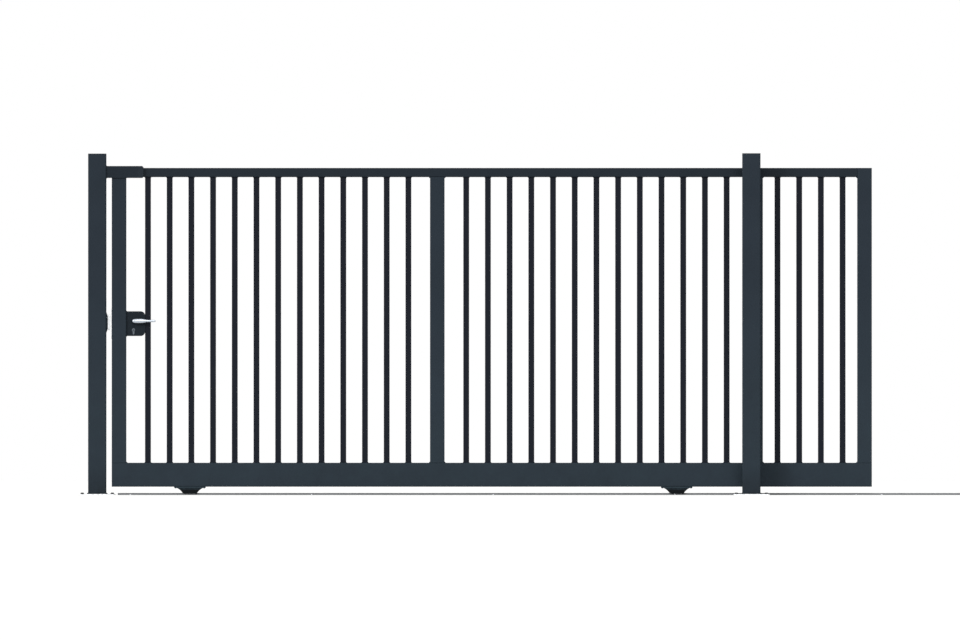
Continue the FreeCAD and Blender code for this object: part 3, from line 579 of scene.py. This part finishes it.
def lobed_screw(bm, radius, height):
    """Low round head with a six-lobed socket, seat on the XY plane."""
    crown = 0.62 * radius
    outline = [(0, 0), (radius, 0), (radius, 0.3 * height), (0.88 * radius, 0.75 * height), (crown, height)]
    spun(bm, outline, ROUND)
    rim = [e for e in bm.edges if e.is_boundary and all(abs(v.co.z - height) < MERGE for v in e.verts)]
    top = bmesh.ops.contextual_create(bm, geom=rim)["faces"]
    bmesh.ops.inset_individual(bm, faces=top, thickness=0.16 * radius, depth=0, use_even_offset=True)
    # Four points of the rim to a lobe, drawn in between the lobes
    lobe = (1.0, 0.93, 0.78, 0.93)
    for vert in top[0].verts:
        number = round(math.atan2(vert.co.y, vert.co.x) / math.tau * ROUND)
        vert.co.xy *= lobe[number % 4]
    sunk = bmesh.ops.extrude_face_region(bm, geom=top)["geom"]
    bmesh.ops.delete(bm, geom=top, context="FACES_ONLY")
    bmesh.ops.translate(bm, vec=(0, 0, -0.55 * height), verts=only(bmesh.types.BMVert, sunk))


def washer(bm, bore, radius, thick):
    """Flat washer with broken edges, seat on the XY plane."""
    edge = 0.2 * thick
    spun(bm, [(bore, 0), (radius, 0), (radius, thick - edge), (radius - edge, thick), (bore, thick),
              (bore, 0)], ROUND)


def bolt_and_washer(bm, flats, head):
    """Hexagon bolt head on its washer."""
    thick = 0.25 * head
    washer(bm, 0.3 * flats, 0.66 * flats, thick)
    hexagon(bm, flats, thick, thick + head, 0.08 * flats)


def roller_bolt(bm, flats, low, roller_low, roller_high, arm_low, arm_high, high):
    """Roller bolt on its axis: head, plain shank, spacer, locking nut and the end of its thread."""
    shank = 6 * MM
    spacer = 9 * MM
    thread = 5.6 * MM
    rim = 11 * MM
    hexagon(bm, flats, roller_low, low, 0.08 * flats)
    spun(bm, [(0, roller_low), (shank, roller_low), (shank, roller_high), (spacer, roller_high),
              (spacer, arm_low), (shank, arm_low), (shank, arm_high), (0, arm_high)], ROUND)
    nut = arm_high + 0.72 * (high - arm_high)
    washer_top = arm_high + 1.6 * MM
    spun(bm, [(shank, arm_high), (rim, arm_high), (rim, washer_top), (shank, washer_top),
              (shank, arm_high)], ROUND)
    hexagon(bm, 0.95 * flats, washer_top, nut, 0.09 * flats)
    rise = nut + 1.2 * MM
    spun(bm, [(0, nut - MM), (0.42 * flats, nut - MM), (0.36 * flats, rise), (0, rise)], ROUND)
    turn = (high - rise) / 3
    crests = [(thread * (1.0 if k % 2 else 0.86), rise + turn * k / 2) for k in range(6)]
    spun(bm, [(0, rise)] + crests + [(0.7 * thread, high), (0, high)], ROUND_THREAD)


def bead_ring(bm, width, depth, leg, corner, cuts):
    """Weld bead round a square tube that stands on the XY plane."""
    grow = Matrix.Diagonal((width + 2 * leg, depth + 2 * leg, 1, 1))
    quarter = Matrix.Rotation(math.radians(45), 4, "Z")
    ring = bmesh.ops.create_circle(bm, cap_ends=True, segments=4, radius=math.sqrt(0.5),
                                   matrix=grow @ quarter)
    bmesh.ops.bevel(bm, geom=ring["verts"], offset=corner, offset_type="OFFSET", segments=3, profile=0.5,
                    affect="VERTICES", material=-1)
    if cuts:
        longest = [e for e in bm.edges if e.calc_length() > 0.4 * width]
        bmesh.ops.subdivide_edges(bm, edges=longest, cuts=cuts)
    if bm.faces[:][0].normal.z < 0:
        bmesh.ops.reverse_faces(bm, faces=bm.faces)
    face = bm.faces[:]
    # Inset and rise of each slope of the bead, as shares of its leg
    toe, belly, crown = (0.12, 0.28), (0.3, 0.4), (0.58, 0.32)
    for slope in (toe, belly, crown):
        inset, rise = slope
        bmesh.ops.inset_individual(bm, faces=face, thickness=inset * leg, depth=rise * leg,
                                   use_even_offset=True)
        if cuts and slope == belly:
            for number, vert in enumerate(face[0].verts):
                swell = 0.1 * leg * (1 if number % 2 else -1)
                vert.co += Vector((vert.co.x, vert.co.y, 0)).normalized() * swell + UP * swell
    bmesh.ops.delete(bm, geom=face, context="FACES_ONLY")
    bmesh.ops.bridge_loops(bm, edges=[e for e in bm.edges if e.is_boundary])


def bead(bm, start, end, one, other, leg, ripple):
    """Straight weld bead in the corner between two faces, from start to end."""
    way = end - start
    steps = max(2, round(way.length / ripple))
    before = len(bm.verts)
    # Rounded section with its root sunk in the corner, as shares of the leg
    section = [(-0.15, -0.15), (1, -0.15), (0.86, 0.46), (0.46, 0.86), (-0.15, 1)]
    points = [bm.verts.new(start + (one * a + other * b) * leg) for a, b in section]
    edges = [bm.edges.new(pair) for pair in zip(points, points[1:] + points[:1])]
    bmesh.ops.contextual_create(bm, geom=edges)
    swept = bmesh.ops.spin(bm, geom=edges, cent=start, axis=way, dvec=way / steps, angle=0, steps=steps,
                           use_merge=False, use_duplicate=False)
    bmesh.ops.contextual_create(bm, geom=only(bmesh.types.BMEdge, swept["geom_last"]))
    bm.verts.ensure_lookup_table()
    for vert in bm.verts[before:]:
        offset = vert.co - start
        step = round(offset.dot(way) / way.length_squared * steps)
        if step % 2 and step < steps and min(offset.dot(one), offset.dot(other)) > 0.3 * leg:
            vert.co -= (one + other) * 0.1 * leg


class GATE_OT_finishes(Operator):
    """Gives every CAD piece its finish"""

    bl_idname = "gate.finishes"
    bl_label = "Finishes"

    def execute(self, context):
        tone = context.scene.gate_colours
        dust_light_and_shade = context.scene.gate_wear
        made = {
            "anthracite_coat": new_finish("satin_powder_coat", powder_coat, tone.coat, tone, dust_light_and_shade,
                                          dust_light_and_shade.frame_dust_and_light, dust_light_and_shade.leaf_ground_shade),
            "bar_coat": new_finish("satin_powder_coat_on_bars", powder_coat, tone.bars, tone, dust_light_and_shade,
                                   dust_light_and_shade.bar_dust_and_light, dust_light_and_shade.leaf_ground_shade),
            "lock_coat": new_finish("fine_texture_coat", fine_texture_coat, tone.lock),
            # The carriages' coat carries painted light and painted shade.
            "carriage_black": new_finish("carriage_coat_with_painted_shade", shaded_carriage_coat, tone, dust_light_and_shade),
            "black_plastic": new_finish("moulded_polyamide", moulded_plastic, tone.cap, 1.6, 0.55),
            "zinc_plate": new_finish("hot_dip_zinc", spangled_zinc, tone.foot_zinc, 11),
            "track_zinc": new_finish("weathered_zinc", weathered_zinc, tone.track_zinc, 1),
            "stainless": new_finish("brushed_stainless", brushed_metal, tone.stainless,
                                    (per_mm(0.8), per_mm(0.8), per_mm(40)), 0.32),
            "satin_lever": new_finish("satin_nickel", brushed_metal, tone.lever,
                                      (per_mm(30), per_mm(0.8), per_mm(0.8)), 0.3),
            "nickel": new_finish("nickelled_brass", plated_metal, tone.cylinder, 0.3, 6),
            "nylon": new_finish("cast_nylon", moulded_plastic, tone.nylon, 2.5, 0.5),
        }
        bright_zinc = new_finish("bright_zinc", plated_metal, tone.screw_zinc, 0.32, 8)
        new_finish("black_oxide", plated_metal, tone.anchor, 0.5, 10)
        # The plug's nickel is darkened with painted shade.
        new_finish("nickel_with_painted_shade", plated_metal, tone.plug, 0.35, 5)
        # Painted shade inside the keyway.
        new_finish("keyway_painted_shade", keyway_painted_shade, tone.keyway)
        # The top rail's coat is the frame coat darkened with painted shade.
        rail = new_finish("shaded_powder_coat_on_top_rail", powder_coat, tone.rail, tone, dust_light_and_shade,
                          dust_light_and_shade.frame_dust_and_light, dust_light_and_shade.leaf_ground_shade)
        post = new_finish("satin_powder_coat_on_posts", powder_coat, tone.coat, tone, dust_light_and_shade,
                          dust_light_and_shade.frame_dust_and_light, dust_light_and_shade.post_ground_shade)
        own = {
            "receiving_post": post,
            "guide_post": post,
            "top_rail": rail,
            "top_catch": rail,
            "track_stop": new_finish("weathered_zinc_on_stop", weathered_zinc, tone.track_zinc, 0),
        }
        for label in ("leading", "trailing"):
            own[label + "_wheel"] = new_finish("turned_steel_" + label, turned_steel, tone.wheel, tone.grease_and_shade,
                                               axle_place(label + "_wheel_roll"))
        for node in ("guide_roller_bolts", "lever_spindle", "leading_axle", "trailing_axle"):
            own[node] = bright_zinc
        for part in frame["record"]["subparts"]:
            node = part["node"]
            mesh = frame["nodes"][node].data
            mesh.materials.clear()
            mesh.materials.append(own[node] if node in own else made[part["material_slot"]])
        return {"FINISHED"}


class GATE_OT_anchors(Operator):
    """Makes the flanged anchors in the corners of both post feet"""

    bl_idname = "gate.anchors"
    bl_label = "Ground anchors"

    def execute(self, context):
        size = context.scene.gate_fasteners
        for post in ("receiving_post", "guide_post"):
            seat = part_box(post + "_foot")[1].z
            screw = pattern(flange_screw, size.anchor_flats, size.anchor_head, size.anchor_flange)
            name = post + "_anchors"
            stamped(name, POSTS, None, "black_oxide", screw, bolt_places(name, seat))
        return {"FINISHED"}


class GATE_OT_track_screws(Operator):
    """Makes the pairs of low screws that hold the track down"""

    bl_idname = "gate.track_screws"
    bl_label = "Track screws"

    def execute(self, context):
        size = context.scene.gate_fasteners
        for label in ("passage", "parking"):
            screw = pattern(lobed_screw, size.track_head, size.track_rise)
            name = label + "_track_screws"
            stamped(name, POSTS, "zinc_plate", "bright_zinc", screw, bolt_places(name, TRACK_BASE))
        return {"FINISHED"}


class GATE_OT_carriage_screws(Operator):
    """Makes the screws that hold the carriages under the rail"""

    bl_idname = "gate.carriage_screws"
    bl_label = "Carriage screws"

    def execute(self, context):
        size = context.scene.gate_fasteners
        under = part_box("bottom_rail")[0].z - CARRIAGE_FLANGE
        for label in ("leading", "trailing"):
            low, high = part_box(label + "_carriage")
            places = [turned_to(DOWN, Vector((x, y, under)))
                      for x in (low.x + size.carriage_inset, high.x - size.carriage_inset)
                      for y in (-size.carriage_side, size.carriage_side)]
            screw = pattern(lobed_screw, size.carriage_head, size.carriage_rise)
            stamped(label + "_carriage_screws", LEAF, "carriage_black", "carriage_coat_with_painted_shade", screw, places)
        return {"FINISHED"}


class GATE_OT_catch_screws(Operator):
    """Makes the screws in the web of the top catch"""

    bl_idname = "gate.catch_screws"
    bl_label = "Catch screws"

    def execute(self, context):
        size = context.scene.gate_fasteners
        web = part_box("top_catch")[0].x + CATCH_PLATE
        z = middle("top_catch").z
        places = [turned_to(ALONG, Vector((web, y, z))) for y in (-size.catch_side, size.catch_side)]
        screw = pattern(lobed_screw, size.catch_head, size.catch_rise)
        stamped("top_catch_screws", POSTS, "zinc_plate", "bright_zinc", screw, places)
        return {"FINISHED"}


class GATE_OT_lock_screws(Operator):
    """Makes the low screws of the lock's face plate and of the keep"""

    bl_idname = "gate.lock_screws"
    bl_label = "Lock screws"

    def execute(self, context):
        size = context.scene.gate_fasteners
        forend_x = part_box("lock_forend")[0].x
        keep_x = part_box("lock_keep")[1].x
        for node, body, x, way, inset in (("lock_forend", LEAF, forend_x, -ALONG, size.forend_inset),
                                          ("lock_keep", POSTS, keep_x, ALONG, size.keep_inset)):
            low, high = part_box(node)
            places = [turned_to(way, Vector((x, 0, z))) for z in (low.z + inset, high.z - inset)]
            screw = pattern(lobed_screw, size.lock_head, size.lock_rise)
            stamped(node + "_screws", body, "stainless", "brushed_stainless", screw, places)
        return {"FINISHED"}


class GATE_OT_guide_bolts(Operator):
    """Makes the bolts of the guide arm and of its rollers"""

    bl_idname = "gate.guide_bolts"
    bl_label = "Guide bolts"

    def execute(self, context):
        size = context.scene.gate_fasteners
        low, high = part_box("guide_arm")
        x = middle("guide_arm").x
        places = [turned_to(YARD, Vector((x + dx, low.y + ARM_THICK, low.z + dz)))
                  for dx in (-size.arm_side, size.arm_side) for dz in (size.arm_low, size.arm_high)]
        bolt = pattern(bolt_and_washer, size.arm_flats, size.arm_head)
        stamped("guide_arm_bolts", POSTS, "zinc_plate", "bright_zinc", bolt, places)
        bolt_low, bolt_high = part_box("guide_roller_bolts")
        roller_low, roller_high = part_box("guide_rollers")
        reach = (roller_high.y - roller_low.y) / 2 - (roller_high.x - roller_low.x) / 2
        turn = pattern(roller_bolt, size.roller_flats, bolt_low.z, roller_low.z, roller_high.z,
                       high.z - ARM_THICK, high.z, bolt_high.z)
        places = [Matrix.Translation((x, y, 0)) for y in (-reach, reach)]
        made = stamped("guide_roller_bolt_set", POSTS, "zinc_plate", "bright_zinc", turn, places)
        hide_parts("guide_roller_bolts")
        return {"FINISHED"}


class GATE_OT_post_welds(Operator):
    """Makes the beads round the feet of both posts"""

    bl_idname = "gate.post_welds"
    bl_label = "Post welds"

    def execute(self, context):
        size = context.scene.gate_welds
        for post in ("receiving_post", "guide_post"):
            low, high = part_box(post)
            width = high.x - low.x
            cuts = 2 * round(width / size.ripple / 2)
            ring = pattern(bead_ring, width, high.y - low.y, size.post_leg, POST_CORNER + size.post_leg, cuts)
            centre = middle(post)
            stamped(post + "_foot_weld", POSTS, "anthracite_coat", "satin_powder_coat", ring,
                    [Matrix.Translation((centre.x, centre.y, low.z))])
        return {"FINISHED"}


class GATE_OT_bar_welds(Operator):
    """Makes the small beads round both ends of every bar"""

    bl_idname = "gate.bar_welds"
    bl_label = "Bar welds"

    def execute(self, context):
        size = context.scene.gate_welds
        over = Matrix.Rotation(math.pi, 4, "X")
        for node, count in BAR_COUNTS.items():
            low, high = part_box(node)
            bar = high.y - low.y
            step = (high.x - low.x - bar) / (count - 1)
            matrices = []
            for number in range(count):
                x = low.x + bar / 2 + step * number
                matrices.append(Matrix.Translation((x, 0, low.z)))
                matrices.append(Matrix.Translation((x, 0, high.z)) @ over)
            ring = pattern(bead_ring, bar, bar, size.bar_leg, BAR_CORNER + size.bar_leg, 0)
            stamped(node + "_welds", LEAF, "bar_coat", "satin_powder_coat_on_bars", ring, matrices)
        return {"FINISHED"}


class GATE_OT_seam_welds(Operator):
    """Makes the straight beads of the frame corners, lock case, catch, keep, carriages and stop"""

    bl_idname = "gate.seam_welds"
    bl_label = "Seam welds"

    def execute(self, context):
        size = context.scene.gate_welds
        self.frame_corners(size)
        self.lock_case(size)
        self.receiving_post(size)
        self.carriages(size)
        self.stop(size)
        return {"FINISHED"}

    def made(self, name, body, slot, finish, beads, leg, ripple):
        """A piece of straight beads, each from start to end between two faces."""
        bm = bmesh.new()
        for start, end, one, other in beads:
            bead(bm, Vector(start), Vector(end), one, other, leg, ripple)
        bmesh.ops.recalc_face_normals(bm, faces=bm.faces)
        piece(name, bm, body, slot, finish)

    def frame_corners(self, size):
        """Beads across the leaf, in the corners between stiles and rails."""
        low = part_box("bottom_rail")[1].z
        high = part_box("top_rail")[0].z
        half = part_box("top_rail")[1].y - FRAME_CORNER
        corners = []
        for stile, sides in (("latch_stile", (1,)), ("middle_stile", (-1, 1)), ("guide_stile", (-1, 1)),
                             ("tail_stile", (-1,))):
            left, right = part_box(stile)
            for side in sides:
                x = right.x if side > 0 else left.x
                corners.append(((x, -half, low), (x, half, low), ALONG * side, UP))
                corners.append(((x, -half, high), (x, half, high), ALONG * side, DOWN))
        self.made("bay_corner_welds", LEAF, "anthracite_coat", "satin_powder_coat", corners, size.corner_leg,
                  size.ripple)

    def lock_case(self, size):
        """Beads round the case where it meets the stile, and up its sides at the first bar."""
        low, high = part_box("lock_case")
        x = low.x
        seams = [((x, side * high.y, low.z), (x, side * high.y, high.z), ALONG, YARD * side)
                 for side in (-1, 1)]
        seams.append(((x, low.y, high.z), (x, high.y, high.z), ALONG, UP))
        seams.append(((x, low.y, low.z), (x, high.y, low.z), ALONG, DOWN))
        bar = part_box("latch_bay_bars")[1].y
        bottom, top = low.z + CASE_CORNER, high.z - CASE_CORNER
        for side in (-1, 1):
            y = side * bar
            seams.append(((high.x, y, bottom), (high.x, y, top), ALONG, YARD * side))
        self.made("lock_case_welds", LEAF, "lock_coat", "fine_texture_coat", seams, size.seam_leg,
                  size.ripple)

    def receiving_post(self, size):
        """Beads of the catch and of the keep plate on the post."""
        low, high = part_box("top_catch")
        seams = [((low.x, -CATCH_HALF, z), (low.x, CATCH_HALF, z), ALONG, way)
                 for z, way in ((high.z, UP), (low.z, DOWN))]
        low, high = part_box("keep_plate")
        short = KEEP_TAPER + size.keep_end
        for side in (-1, 1):
            y = side * high.y
            seams.append(((low.x, y, low.z + short), (low.x, y, high.z - short), ALONG, YARD * side))
        self.made("receiving_post_welds", POSTS, "anthracite_coat", "satin_powder_coat", seams, size.seam_leg,
                  size.ripple)

    def carriages(self, size):
        """Beads of the cheeks under the flange of each carriage."""
        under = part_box("bottom_rail")[0].z - CARRIAGE_FLANGE
        half = CHEEK_TOP / 2 - size.cheek_end
        for label in ("leading", "trailing"):
            x = middle(label + "_carriage").x
            seams = []
            for side in (-1, 1):
                y = side * CHEEK_FACE
                seams.append(((x - half, y, under), (x + half, y, under), DOWN, YARD * side))
            self.made(label + "_carriage_welds", LEAF, "carriage_black", "carriage_coat_with_painted_shade", seams,
                      size.seam_leg, size.ripple)

    def stop(self, size):
        """Beads along both sides of the stop."""
        low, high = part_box("track_stop")
        seams = [((low.x, side * high.y, low.z), (high.x, side * high.y, low.z), UP, YARD * side)
                 for side in (-1, 1)]
        self.made("track_stop_welds", POSTS, "track_zinc", "weathered_zinc_on_stop", seams, size.seam_leg,
                  size.ripple)


class GATE_OT_levers(Operator):
    """Makes the pair of bent levers in place of the CAD pair"""

    bl_idname = "gate.levers"
    bl_label = "Levers"

    def execute(self, context):
        size = context.scene.gate_lever
        for label, side in (("street", -1), ("yard", 1)):
            bm = bmesh.new()
            self.shape(bm, size, side)
            bmesh.ops.recalc_face_normals(bm, faces=bm.faces)
            made = piece(label + "_lever_casting", bm, LEVERS, "satin_lever", "satin_nickel")
            smooth = made.modifiers.new("rounding", "SUBSURF")
            smooth.levels = 2
            smooth.render_levels = 2
            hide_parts(label + "_lever")
        return {"FINISHED"}

    def shape(self, bm, size, side):
        """One lever: ovals from the case out along the neck, round the bend and along the grip."""
        axis = axle_place("lever_turn")
        # The levers mirror each other, so the yard side gives the sizes of both.
        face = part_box("yard_lever")[0].y
        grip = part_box("lock_case")[1].y + size.standoff
        # Each oval: along the gate, away from it, turn from across to along, half height, half thickness
        ovals = [
            (0.0, face, 0, size.neck, size.neck),
            (0.0, face + 3 * MM, 0, size.neck, size.neck),
            (0.0, face + 10 * MM, 0, size.neck, size.neck),
            (-0.3 * MM, grip - 14 * MM, 8, 9.4 * MM, 9.3 * MM),
            (0.2 * MM, grip - 4.5 * MM, 42, 10.8 * MM, 12.4 * MM),
            (6.5 * MM, grip - 0.8 * MM, 74, 11.7 * MM, 8.2 * MM),
            (17 * MM, grip, 90, 12 * MM, 6.8 * MM),
            (0.34 * size.reach, grip, 90, 12 * MM, 6.4 * MM),
            (0.46 * size.reach, grip, 90, 11.4 * MM, 6.2 * MM),
            (0.56 * size.reach, grip, 90, 7.6 * MM, 6 * MM),
            (0.74 * size.reach, grip, 90, 6.6 * MM, 5.6 * MM),
            (0.92 * size.reach, grip, 90, 6.2 * MM, 5 * MM),
            (0.98 * size.reach, grip, 90, 5.2 * MM, 4.2 * MM),
            (1.0 * size.reach, grip, 90, 2.6 * MM, 2.2 * MM),
        ]
        loops = []
        for along, away, turn, tall, thick in ovals:
            place = Vector((axis.x + along, side * away, axis.z))
            turned = math.radians(turn)
            across = Vector((math.cos(turned), -side * math.sin(turned), 0))
            forward = Vector((math.sin(turned), side * math.cos(turned), 0))
            matrix = Matrix((across * thick, UP * tall, forward)).transposed().to_4x4()
            matrix.translation = place
            ring = bmesh.ops.create_circle(bm, cap_ends=False, segments=16, radius=1, matrix=matrix)["verts"]
            loops.append(list(dict.fromkeys(edge for vert in ring for edge in vert.link_edges)))
        for first, second in zip(loops, loops[1:]):
            bmesh.ops.bridge_loops(bm, edges=first + second)
        for end in (loops[0], loops[-1]):
            bmesh.ops.contextual_create(bm, geom=end)


class GATE_OT_key_plugs(Operator):
    """Makes the turning plugs with their keyways on both ends of the key cylinder"""

    bl_idname = "gate.key_plugs"
    bl_label = "Key plugs"

    def execute(self, context):
        size = context.scene.gate_lever
        low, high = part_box("lock_cylinder")
        radius = (high.x - low.x) / 2
        centre = Vector(((low.x + high.x) / 2, 0, high.z - radius))
        bm = bmesh.new()
        for way, reach in ((STREET, -low.y), (YARD, high.y)):
            self.plug(bm, size, centre + way * reach, way)
        piece("key_plugs", bm, LEAF, "nickel", "nickel_with_painted_shade", "keyway_painted_shade")
        return {"FINISHED"}

    def plug(self, bm, size, place, way):
        """One plug: a disc with a raised middle, cut through by its keyway."""
        before = len(bm.faces)
        ring = bmesh.ops.create_circle(bm, cap_ends=True, segments=32, radius=size.plug,
                                       matrix=turned_to(way, place))
        disc = list(ring["verts"][0].link_faces)
        grown = bmesh.ops.extrude_face_region(bm, geom=disc)["geom"]
        bmesh.ops.translate(bm, vec=way * size.plug_rise, verts=only(bmesh.types.BMVert, grown))
        top = only(bmesh.types.BMFace, grown)[0]
        bmesh.ops.inset_individual(bm, faces=[top], thickness=2 * size.plug_crown, depth=size.plug_crown,
                                   use_even_offset=True)
        front = place + way * (size.plug_rise + size.plug_crown)
        half = size.keyway_width / 2
        tall = size.keyway_height / 2
        for normal, reach in ((ALONG, half), (-ALONG, half), (UP, tall), (DOWN, tall)):
            faces = [f for f in bm.faces[:][before:]
                     if abs((f.calc_center_median() - front).dot(way)) < MERGE]
            edges = list(dict.fromkeys(e for f in faces for e in f.edges))
            verts = list(dict.fromkeys(v for f in faces for v in f.verts))
            bmesh.ops.bisect_plane(bm, geom=faces + edges + verts, dist=MERGE,
                                   plane_co=front + normal * reach, plane_no=normal)
        slot = []
        for face in bm.faces[:][before:]:
            offset = face.calc_center_median() - front
            if abs(offset.dot(way)) < MERGE and abs(offset.x) < half and abs(offset.z) < tall:
                slot.append(face)
        sunk = bmesh.ops.extrude_face_region(bm, geom=slot)["geom"]
        bmesh.ops.delete(bm, geom=slot, context="FACES_ONLY")
        bmesh.ops.translate(bm, vec=way * -size.keyway_depth, verts=only(bmesh.types.BMVert, sunk))
        for face in only(bmesh.types.BMFace, sunk):
            face.material_index = 1
            for edge in face.edges:
                for wall in edge.link_faces:
                    wall.material_index = 1
        bmesh.ops.recalc_face_normals(bm, faces=bm.faces[:][before:])


class GATE_OT_stage(Operator):
    """Makes the floor, the light and the camera"""

    bl_idname = "gate.stage"
    bl_label = "Stage"

    def execute(self, context):
        stage = context.scene.gate_stage
        context.scene.view_settings.view_transform = "Standard"
        self.floor(context, stage)
        self.room(context, stage)
        lamps = (("key_lamp", stage.key, KEY_FROM), ("front_lamp", stage.front, FRONT_FROM),
                 ("back_lamp", stage.back, BACK_FROM))
        for name, strength, place in lamps:
            lamp = bpy.data.lights.new(name, "SUN")
            lamp.energy = strength
            lamp.angle = stage.softness
            holder = bpy.data.objects.new(name, lamp)
            holder.rotation_euler = place.to_track_quat("Z", "Y").to_euler()
            context.scene.collection.objects.link(holder)
        self.camera(context, stage)
        return {"FINISHED"}

    def seen(self, tree):
        """One for rays from the camera, from gloss and through glass, else nought."""
        path = add(tree, "ShaderNodeLightPath")
        either = add(tree, "ShaderNodeMath", {0: path["Is Camera Ray"], 1: path["Is Glossy Ray"]},
                     operation="MAXIMUM")["Value"]
        return add(tree, "ShaderNodeMath", {0: either, 1: path["Is Transmission Ray"]},
                   operation="MAXIMUM")["Value"]

    def floor(self, context, stage):
        """Matt studio paper, lifted towards white where it is seen."""
        bm = bmesh.new()
        bmesh.ops.create_grid(bm, x_segments=1, y_segments=1, size=stage.floor_size)
        mesh = bpy.data.meshes.new("floor")
        bm.to_mesh(mesh)
        bm.free()
        paper = blank("studio_paper")
        tree = paper.node_tree
        lift = add(tree, "ShaderNodeMath", {0: self.seen(tree), 1: stage.floor_glow},
                   operation="MULTIPLY")["Value"]
        glow = add(tree, "ShaderNodeEmission", {"Strength": lift})["Emission"]
        matt = add(tree, "ShaderNodeBsdfDiffuse", {"Color": stage.floor})["BSDF"]
        both = add(tree, "ShaderNodeAddShader", {0: glow, 1: matt})["Shader"]
        add(tree, "ShaderNodeOutputMaterial", {"Surface": both})
        mesh.materials.append(paper)
        floor = bpy.data.objects.new("floor", mesh)
        context.scene.collection.objects.link(floor)

    def room(self, context, stage):
        """A white room that gives a soft light of its own."""
        world = bpy.data.worlds.new("studio")
        world.use_nodes = True
        tree = world.node_tree
        tree.nodes.clear()
        level = add(tree, "ShaderNodeMapRange", {"Value": self.seen(tree), "To Min": stage.ambient})["Result"]
        light = add(tree, "ShaderNodeBackground", {"Color": (1, 1, 1, 1), "Strength": level})["Background"]
        add(tree, "ShaderNodeOutputWorld", {"Surface": light})
        context.scene.world = world

    def camera(self, context, stage):
        """A far camera with a long lens, square on to the street side."""
        lens = bpy.data.cameras.new("camera")
        lens.sensor_width = 36
        lens.sensor_fit = "HORIZONTAL"
        lens.lens = stage.lens
        lens.clip_start = 1
        lens.clip_end = 2000
        distance = stage.view_width * stage.lens / lens.sensor_width
        holder = bpy.data.objects.new("camera", lens)
        aim = Vector((stage.aim_x, 0, stage.aim_z))
        holder.location = (stage.aim_x, -distance, stage.eye_height)
        holder.rotation_euler = (aim - holder.location).to_track_quat("-Z", "Y").to_euler()
        context.scene.collection.objects.link(holder)
        context.scene.camera = holder


OPERATORS = (
    GATE_OT_finishes, GATE_OT_anchors, GATE_OT_track_screws, GATE_OT_carriage_screws, GATE_OT_catch_screws,
    GATE_OT_lock_screws, GATE_OT_guide_bolts, GATE_OT_post_welds, GATE_OT_bar_welds, GATE_OT_seam_welds,
    GATE_OT_levers, GATE_OT_key_plugs, GATE_OT_stage,
)
GROUPS = {
    "gate_colours": GateColours, "gate_wear": GateDustLightAndShade, "gate_fasteners": GateFasteners,
    "gate_welds": GateWelds, "gate_lever": GateLever, "gate_stage": GateStage,
}


class GATE_PT_panel(Panel):
    """Lists the gate's sizes, colours and makers"""

    bl_idname = "GATE_PT_panel"
    bl_label = "Sliding gate"
    bl_space_type = "VIEW_3D"
    bl_region_type = "UI"
    bl_category = "Gate"

    def draw(self, context):
        for operator in OPERATORS:
            self.layout.operator(operator.bl_idname)
        for group in GROUPS:
            box = self.layout.box()
            settings = getattr(context.scene, group)
            for name in settings.bl_rna.properties.keys():
                if name not in ("rna_type", "name"):
                    box.prop(settings, name)


def register():
    for group in GROUPS.values():
        bpy.utils.register_class(group)
    for operator in OPERATORS:
        bpy.utils.register_class(operator)
    bpy.utils.register_class(GATE_PT_panel)
    for name, group in GROUPS.items():
        setattr(bpy.types.Scene, name, PointerProperty(type=group))


def unregister():
    for name in GROUPS:
        delattr(bpy.types.Scene, name)
    bpy.utils.unregister_class(GATE_PT_panel)
    for operator in reversed(OPERATORS):
        bpy.utils.unregister_class(operator)
    for group in reversed(list(GROUPS.values())):
        bpy.utils.unregister_class(group)


def main():
    register()
    for operator in OPERATORS:
        place, name = operator.bl_idname.split(".")
        getattr(getattr(bpy.ops, place), name)()


if __name__ == "__main__":
    main()
